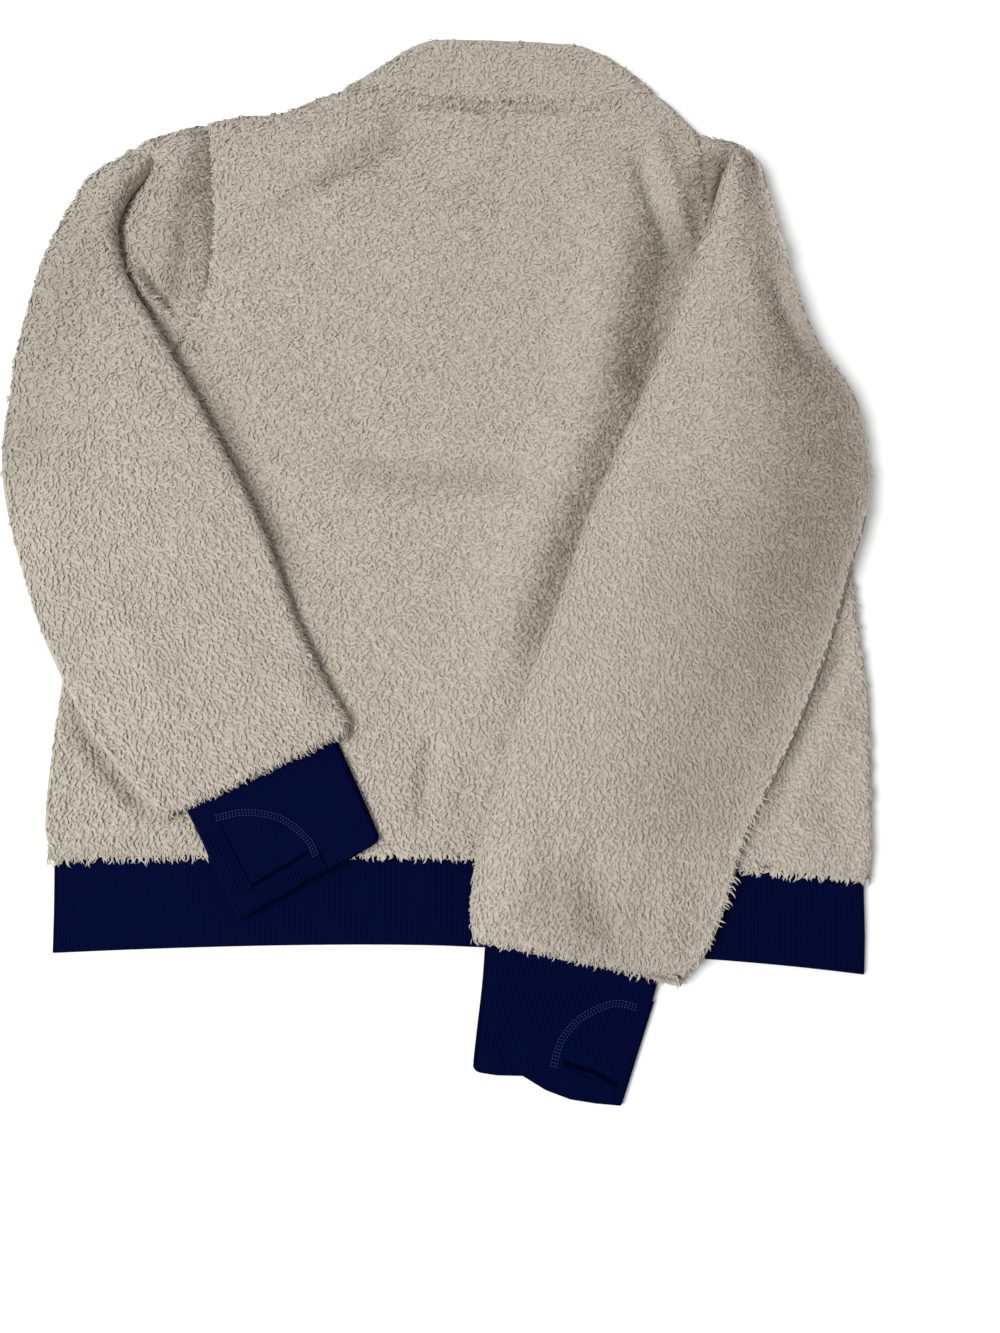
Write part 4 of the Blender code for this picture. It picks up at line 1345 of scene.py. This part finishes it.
def pile_maker():
    """Curls set on a surface at an even spacing, leaning the way its lay points."""
    sizes = {"Spacing": "Float", "Density": "Float", "Seed": "Int"}
    maker = Maker("fleece pile", sizes | {"Curls": "Collection", "Finish": "Material"})
    given = maker.given
    spread = maker.add(
        "GeometryNodeDistributePointsOnFaces", {"distribute_method": "POISSON"},
        Mesh=given["Geometry"], Distance_Min=given["Spacing"], Density_Max=given["Density"],
        Density_Factor=maker.marked("cover"), Seed=given["Seed"],
    ).outputs
    upright = maker.facing(socket_named(spread, "Normal"), {"axis": "Z"})
    leaning = maker.facing(maker.marked("lay", "FLOAT_VECTOR"), ALONG, Rotation=upright)
    any_way = maker.random(-math.pi, math.pi, Seed=given["Seed"])
    kinds = maker.get(
        "GeometryNodeCollectionInfo", "Instances", {}, Collection=given["Curls"],
        Separate_Children=True, Reset_Children=True,
    )
    set_on = maker.get(
        "GeometryNodeInstanceOnPoints", "Instances", {},
        Points=socket_named(spread, "Points"), Instance=kinds, Pick_Instance=True,
        Rotation=maker.turned(leaning, maker.product(any_way, maker.marked("wild"))),
        Scale=maker.random(0.75, 1.25),
    )
    tinted = maker.get(
        "GeometryNodeStoreNamedAttribute", "Geometry",
        {"data_type": "FLOAT", "domain": "INSTANCE"},
        Geometry=set_on, Name="tint", Value=maker.random(0.0, 1.0, Seed=7),
    )
    return maker.end(tinted)


def stitch_maker():
    """Stitches set along lines: lengthwise where across is 0 and crosswise where it is 1."""
    sizes = {"Stitch": "Object", "Pitch": "Float", "Finish": "Material"}
    maker = Maker("stitching", sizes)
    given = maker.given
    line = maker.get("GeometryNodeMeshToCurve", "Curve", {}, Mesh=given["Geometry"])
    beads = maker.add("GeometryNodeCurveToPoints", {"mode": "LENGTH"}, Curve=line,
                      Length=given["Pitch"]).outputs
    flat = maker.facing(socket_named(beads, "Tangent"), ALONG)
    crosswise = maker.product(maker.marked("across"), math.pi / 2)
    sewn = maker.get(
        "GeometryNodeInstanceOnPoints", "Instances", {},
        Points=socket_named(beads, "Points"), Rotation=maker.turned(flat, crosswise),
        Instance=maker.get("GeometryNodeObjectInfo", "Geometry", {}, Object=given["Stitch"]),
    )
    return maker.end(sewn)


# -------- pile

# A patch of pile: the grid it is set on, its curls and their spacing, where it shows, the ways
# it lies, how tangled it is, the bands of its painted shade and the outline it stays inside.
# Without ways it lies down the cloth, with a turn. A fringe isn't gathered in tufts.
Patch = namedtuple(
    "Patch", "name grid kinds spacing cover ways tangle nap outline turn fringe",
    defaults=(None, 0.0, False),
)
TUFT_SIZE = 5.6
TUFT_SHAPE = np.array([1.45, 0.82])
TUFT_EDGE = 0.3
TUFT_RISE = 0.4
# How much painted shade the gaps between tufts get.
TUFT_SHADE = 0.24
TUFT_TURN = 2.2
TUFT_NUMBERS = 1009
SPOT_ROWS, SPOT_COLUMNS = 97, 89


def tufts(xy, size, seed):
    """How far each point is inside its tuft of curls, 0 in a gap, and the tuft's number."""
    drift = [lumps(xy, 3 * size, 0.4 * size, seed + k) for k in (1, 2)]
    place = (xy + np.stack(drift, -1)) / (TUFT_SHAPE * size)
    cell = np.floor(place).astype(int)
    table = (SPOT_ROWS, SPOT_COLUMNS, 2)
    spots = np.random.default_rng(seed).uniform(0.08, 0.92, table)
    first, second = np.full(len(xy), 9.0), np.full(len(xy), 9.0)
    owner = np.zeros(len(xy), int)
    for step in [(i, j) for i in (-1, 0, 1) for j in (-1, 0, 1)]:
        near = cell + step
        spot = spots[near[:, 0] % SPOT_ROWS, near[:, 1] % SPOT_COLUMNS]
        gap = np.hypot(*(near + spot - place).T)
        nearer = gap < first
        second = np.where(nearer, first, np.minimum(second, gap))
        owner = np.where(nearer, (near[:, 0] * 73 + near[:, 1] * 151) % TUFT_NUMBERS, owner)
        first = np.where(nearer, gap, first)
    return smooth((second - first) / TUFT_EDGE), owner


def finer(grid, times):
    """The grid with that many times as many rows and columns, between the same points."""
    for _ in range(2):
        at = np.linspace(0, len(grid) - 1, (len(grid) - 1) * times + 1)
        low = np.minimum(at.astype(int), len(grid) - 2)
        share = (at - low)[:, None, None]
        grid = grid[low] * (1 - share) + grid[low + 1] * share
        grid = grid.swapaxes(0, 1)
    return grid


def down_the_cloth(grid):
    """A unit direction at each point along the rows of points, towards the hem or cuff."""
    way = np.gradient(grid[..., :2], axis=0)
    way = way / np.maximum(np.hypot(way[..., 0], way[..., 1]), 1e-6)[..., None]
    return -way if way[..., 1].mean() > 0 else way


def turned_by(way, angle):
    x, y = way[..., 0], way[..., 1]
    cosine, sine = np.cos(angle), np.sin(angle)
    return np.stack([x * cosine - y * sine, x * sine + y * cosine], -1)


def lay_towards(xy, spots):
    """A unit direction for each point, blended from directions given at spots."""
    total = np.zeros((len(xy), 2))
    for x, y, way_x, way_y in spots:
        weight = 1 / (1 + ((xy[:, 0] - x) ** 2 + (xy[:, 1] - y) ** 2) / 60.0**2)
        total += weight[:, None] * np.array([way_x, way_y])
    return total / np.maximum(np.hypot(*total.T), 1e-6)[:, None]


def uncovered(xy, shapes, depth):
    """1 where nothing lies on the cloth, 0 well inside one of the shapes."""
    shown = np.ones(len(xy))
    for shape in shapes:
        shown = np.minimum(shown, distance_outside(xy, shape) > -depth)
    return shown


def back_cover(xy):
    """Where the back has pile: not under a sleeve nor along the neck's stitching."""
    shown = uncovered(xy, OVER_BODY, 10)
    to_top = line_distance(xy, [(p.x, p.back_y) for p in TOP_EDGE])[0]
    shown *= to_top > 0.8
    stitched = (xy[:, 0] > -60) & (xy[:, 0] < 86)
    return shown * ~(stitched & (np.abs(to_top - TOPSTITCH) < 0.9))


def head_cover(xy):
    return uncovered(xy, SLEEVE_SHAPES, 8)


def back_tangle(xy):
    return 0.35 + 0.65 * smooth((xy[:, 1] + 60) / 200)


def sleeve_tangle(xy):
    return 0.25 + 0.75 * smooth((xy[:, 1] - 40) / 220)


def beside_arms(xy):
    """1 along the armholes, where the pile hangs over the panel's edges."""
    out = smooth((np.abs(xy[:, 0] + 20) - 120) / 10)
    return out * smooth((xy[:, 1] - 215) / 20) * smooth((398 - xy[:, 1]) / 10)


def each(value, xy):
    """A value for every point, from a number or from a function of place."""
    return value(xy) if callable(value) else np.full(len(xy), float(value))


def patch_marks(patch):
    """The lay (two numbers), tangle, cover and painted shade at each point of a patch."""
    xy = patch.grid.reshape(-1, 3)[:, :2]
    down = turned_by(down_the_cloth(patch.grid), patch.turn).reshape(-1, 2)
    lay = lay_towards(xy, patch.ways) if patch.ways else down
    tangle, shown = each(patch.tangle, xy), each(patch.cover, xy)
    if patch.outline:
        depth = -distance_outside(xy, patch.outline)
        loose = beside_arms(xy) if patch.outline is BODY_SHAPE else np.zeros(len(xy))
        inner = np.maximum(smooth(depth / 15), loose)[:, None]
        lay = lay * inner + down * (1 - inner)
        tangle = tangle * (0.25 + 0.75 * inner[:, 0])
        shown = shown * smooth(depth / 1.6 - 0.3 + loose)
    marks = np.column_stack([lay, tangle, shown, painted_shade_at(patch.grid, patch.nap)])
    return marks.reshape(*patch.grid.shape[:2], 5)


def tufted(full, seed):
    """A patch's points and marks, made finer, with the pile gathered in tufts."""
    full = finer(full, 4)
    inside, owner = tufts(full[..., :2].reshape(-1, 2), TUFT_SIZE, 40 + seed)
    inside = inside.reshape(full.shape[:2])
    swirls = np.random.default_rng(seed).uniform(-1, 1, TUFT_NUMBERS)
    swirl = swirls[owner].reshape(inside.shape)
    tangle = full[..., 5].copy()
    full[..., 2] += TUFT_RISE * inside
    full[..., 3:5] = turned_by(full[..., 3:5], swirl * tangle * TUFT_TURN)
    full[..., 5] = 0.1 + 0.22 * tangle
    # Painted shade in the gaps between tufts.
    full[..., 7] = np.clip(full[..., 7] + TUFT_SHADE * (1 - inside), 0, 1)
    return full


def set_pile(maker, finish, patch, seed):
    """Sets a patch's curls on its grid, and keeps them clear of the table."""
    full = np.concatenate([patch.grid, patch_marks(patch)], -1)
    if not patch.fringe:
        full = tufted(full, seed)
    full = facing_up(full)
    marks = dict(zip(("wild", "cover", "nap"), (full[..., k] for k in (5, 6, 7))))
    mesh = grid_mesh(patch.name, full[..., :3], **marks)
    lay = np.concatenate([full[..., 3:5], np.zeros(full.shape[:2] + (1,))], -1)
    mark(mesh, "lay", lay, "FLOAT_VECTOR")
    piece = put(patch.name, mesh)
    density = 3.0e6 / patch.spacing**2
    maker.work(piece, {"Spacing": patch.spacing * MM, "Density": density, "Seed": seed,
                       "Curls": patch.kinds, "Finish": finish})
    for label in ("cover", "wild", "lay"):
        found = piece.data.attributes.get(label)
        if found:
            piece.data.attributes.remove(found)
    keep_off_table(piece)
    return piece


# -------- camera and light


def area_light(name, place, size, power):
    """A round lamp that looks at the middle of the table."""
    light = bpy.data.lights.new(name, "AREA")
    light.shape = "DISK"
    light.size = size
    light.energy = power
    lamp = bpy.data.objects.new(name, light)
    lamp.location = place
    lamp.rotation_euler = (-Vector(place)).to_track_quat("-Z", "Y").to_euler()
    bpy.context.scene.collection.objects.link(lamp)


def camera():
    """The camera above the hem's side, looking down at the back."""
    lens = bpy.data.cameras.new("camera")
    lens.lens = 35
    lens.sensor_fit = "VERTICAL"
    lens.sensor_height = 36
    made = bpy.data.objects.new("camera", lens)
    bpy.context.scene.collection.objects.link(made)
    target = Vector(CAMERA_TARGET) + Vector(BODY_MIDDLE * MM)
    rise = math.radians(CAMERA_RISE)
    back = Vector((0, -math.cos(rise), math.sin(rise))) * CAMERA_DISTANCE
    made.location = target + Matrix.Rotation(math.radians(CAMERA_TURN), 3, "Z") @ back
    made.rotation_euler = (target - made.location).to_track_quat("-Z", "Y").to_euler()
    bpy.context.scene.camera = made


def studio():
    """A pale floor, soft light from above and the camera."""
    bm = bmesh.new()
    bmesh.ops.create_grid(bm, x_segments=1, y_segments=1, size=4.0)
    mesh = bpy.data.meshes.new("floor")
    bm.to_mesh(mesh)
    bm.free()
    floor = put("floor", mesh)
    finish = Finish("floor_paper")
    finish.set(Base_Color=FLOOR_WHITE, Roughness=0.9)
    mesh.materials.append(finish.material)

    world = bpy.data.worlds.new("studio")
    world.use_nodes = True
    background = world.node_tree.nodes["Background"]
    background.inputs["Color"].default_value = (1, 1, 1, 1)
    background.inputs["Strength"].default_value = 0.42
    bpy.context.scene.world = world
    area_light("key_light", (-1.55, -0.9, 2.6), 1.7, 106)
    area_light("fill_light", (0.9, 1.4, 1.8), 1.2, 6)
    camera()
    bpy.context.scene.view_settings.view_transform = "Standard"


# -------- the pullover


def finished(piece, nodes=()):
    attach(piece, "root")
    if nodes:
        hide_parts(*nodes)


def fleece_pieces():
    """Makes the fleece's shells, and returns the grids that pile is set on."""
    ground = fleece_ground()
    grids = {}
    grids["back"], back = panel("back", ground, 5.0, upper=True)
    front = panel("front", ground, 11.0, upper=False)[1]
    grids["left"], _, left = sleeve(
        "left_sleeve", SLEEVE_LEFT, SLEEVE_LEFT_FOLDS, SLEEVE_LEFT_PAINTED_SHADE, 21, 3.0, 0.0, ground
    )
    grids["right"], grids["right_round"], right = sleeve(
        "right_sleeve", SLEEVE_RIGHT, SLEEVE_RIGHT_FOLDS, SLEEVE_RIGHT_PAINTED_SHADE, 33, 7.0, 8.0, ground
    )
    grids["head_left"], head_left = sleeve_head(
        "left_sleeve_head", ARMHOLE_LEFT, HEAD_FOLD_LEFT, HEAD_LEFT_FOLDS, HEAD_LEFT_PAINTED_SHADE,
        7.5, 5, ground
    )
    grids["head_right"], head_right = sleeve_head(
        "right_sleeve_head", ARMHOLE_RIGHT, HEAD_FOLD_RIGHT, HEAD_RIGHT_FOLDS, HEAD_RIGHT_PAINTED_SHADE,
        4.0, 6, ground
    )
    grids["collar"], neck = collar("stand_collar", ground)
    made = [(back, "back_panel"), (front, "front_panel"), (neck, "collar")]
    made += [(left, "sleeve_left"), (right, "sleeve_right")]
    made += [(head_left, "sleeve_head_left"), (head_right, "sleeve_head_right")]
    for piece, node in made:
        finished(piece, [node])
    return grids


def rib_pieces():
    """Makes the hem band, the cuffs and what is sewn on the cuffs, with painted shade in the
    thumb slits.
    """
    navy, inside = rib_knit(), slit_shade()
    finished(hem_band("hem_rib", navy), ["hem_band"])
    thread = stitch_maker()
    bead = put("stitch", curl_mesh("stitch", STITCH, (0.34, 0.34), (0.3, 0.3)))
    stitching = {"Stitch": bead, "Pitch": 2.0 * MM, "Finish": navy_thread()}
    for name, rings, line in THUMB_SEAMS:
        for patch in [patch for patch in RIB_PATCHES if patch.rings is rings]:
            # The slits get the painted shade.
            piece = rib_patch(patch, inside if patch.name.endswith("slit") else navy)
            finished(piece, patch.replaces)
        finished(stitched_line(thread, name, rings, line, stitching))
    bpy.data.objects.remove(bead, do_unlink=True)
    finished(cuff("left_cuff", CUFF_LEFT, LEFT_CUFF_WAVE, navy), ["cuff_left"])
    finished(cuff("right_cuff", CUFF_RIGHT, RIGHT_CUFF_WAVE, navy), ["cuff_right"])


def curl_patches(grids, curls):
    """The patches of curls, each with its ways: places in plan and how the pile lies there."""
    back_ways = [(0, 420, 0.3, -1), (-150, 330, -1, -0.2), (150, 300, 0.4, -1)]
    back_ways += [(0, 100, 0.2, -1), (-200, -80, -0.4, -1), (0, -90, 0, -1), (230, 0, 0.5, -1)]
    left_ways = [(-280, 280, -0.5, -1), (-250, 120, 0, -1), (-160, -20, 0.3, -1)]
    left_ways += [(-150, 130, 1, -0.6), (-90, 0, 1, -0.5)]
    right_ways = [(180, 330, 1, -0.3), (200, 220, 1, -0.2), (150, 60, 0.3, -1)]
    right_ways += [(80, -100, 0, -1), (20, -100, -0.5, -1), (240, 80, 0.6, -1)]
    head_ways = [(-220, 330, 0.3, -1), (-200, 300, 1, -0.3)]

    back, right = grids["back"], grids["right"]
    third, half = len(back) // 3, len(right) // 2
    on_back = back_cover, back_ways, back_tangle, BACK_PAINTED_SHADE, BODY_SHAPE
    on_right = 1, right_ways, sleeve_tangle, SLEEVE_RIGHT_PAINTED_SHADE, SLEEVE_SHAPES[1]
    rows = [
        ("back_pile_0", back[: third + 1], *on_back),
        ("back_pile_1", back[third : 2 * third + 1], *on_back),
        ("back_pile_2", back[2 * third :], *on_back),
        ("left_sleeve_pile", grids["left"], 1, left_ways, sleeve_tangle, SLEEVE_LEFT_PAINTED_SHADE,
         SLEEVE_SHAPES[0]),
        ("right_pile_upper", right[: half + 1], *on_right),
        ("right_pile_lower", right[half:], *on_right),
        ("left_head_pile", grids["head_left"], head_cover, head_ways, 0.7, HEAD_LEFT_PAINTED_SHADE,
         HEAD_SHAPES[0]),
        ("right_head_pile", grids["head_right"], head_cover, [(160, 370, -0.4, -1)], 0.8,
         HEAD_RIGHT_PAINTED_SHADE, HEAD_SHAPES[1]),
        ("collar_pile", grids["collar"], 1, [(0, 460, 0.5, 1)], 0.9, [], COLLAR_SHAPE),
    ]
    return [Patch(name, grid, curls, CURL_SPACING, *rest) for name, grid, *rest in rows]


def fringe_patches(grids, curls, hairs):
    """The longer hairs over the hem and cuffs, and the pile along the sleeves' edges."""
    left, right = grids["left"], grids["right"]
    end = grids["right_round"][-5:, : right.shape[1] + 5]
    left_ways = [(-70, -35, 0.7, -0.8), (-120, -60, 0.4, -0.9), (-178, -90, -0.2, -1)]
    right_ways = [(20, -160, -0.3, -1), (80, -170, 0, -1), (134, -178, 0.6, -0.9)]
    nap = SLEEVE_RIGHT_PAINTED_SHADE
    rows = [
        ("hem_fringe", grids["back"][:5], hairs, 1.2, back_cover, [], 0.24, [], 0.0),
        ("left_end_fringe", left[-5:], hairs, 1.2, 1, left_ways, 0.22, [], 0.0),
        ("right_end_fringe", end, hairs, 1.2, 1, right_ways, 0.22, nap, 0.0),
        ("left_side_fringe", left[14:-3, 2:6], hairs, 1.3, 1, [], 0.2, [], 1.0),
        ("right_inner_fringe", right[-24:-3, 2:6], hairs, 1.3, 1, [], 0.2, [], -0.9),
        ("right_outer_fringe", right[-24:, -6:-1], hairs, 1.3, 1, [], 0.2, [], 0.9),
        ("right_edge_pile", right[3:-22, -6:-1], curls, CURL_SPACING, 1, [], 0.12, nap, 0.2),
    ]
    return [Patch(*row[:-1], turn=row[-1], fringe=True) for row in rows]


def declare_sheets():
    """For each cloth piece, looks up the pieces set on it; nothing more is done with them."""
    made = bpy.data.objects
    for name, width, length, cut, held, below in SHEETS:
        with_pieces = [made[label] for label in ON_SHEET.get(name, [])]


def main():
    studio()
    curls = curl_kinds("curl", CURLS, 0.95, 0.36)
    hairs = curl_kinds("hair", HAIRS, 0.42, 0.36)
    grids = fleece_pieces()
    rib_pieces()
    maker, pile = pile_maker(), fleece_pile()
    patches = curl_patches(grids, curls) + fringe_patches(grids, curls, hairs)
    for seed, patch in enumerate(patches):
        finished(set_pile(maker, pile, patch, seed))
    declare_sheets()
    for kinds in (curls, hairs):
        for kind in list(kinds.objects):
            bpy.data.objects.remove(kind, do_unlink=True)
        bpy.data.collections.remove(kinds)


main()
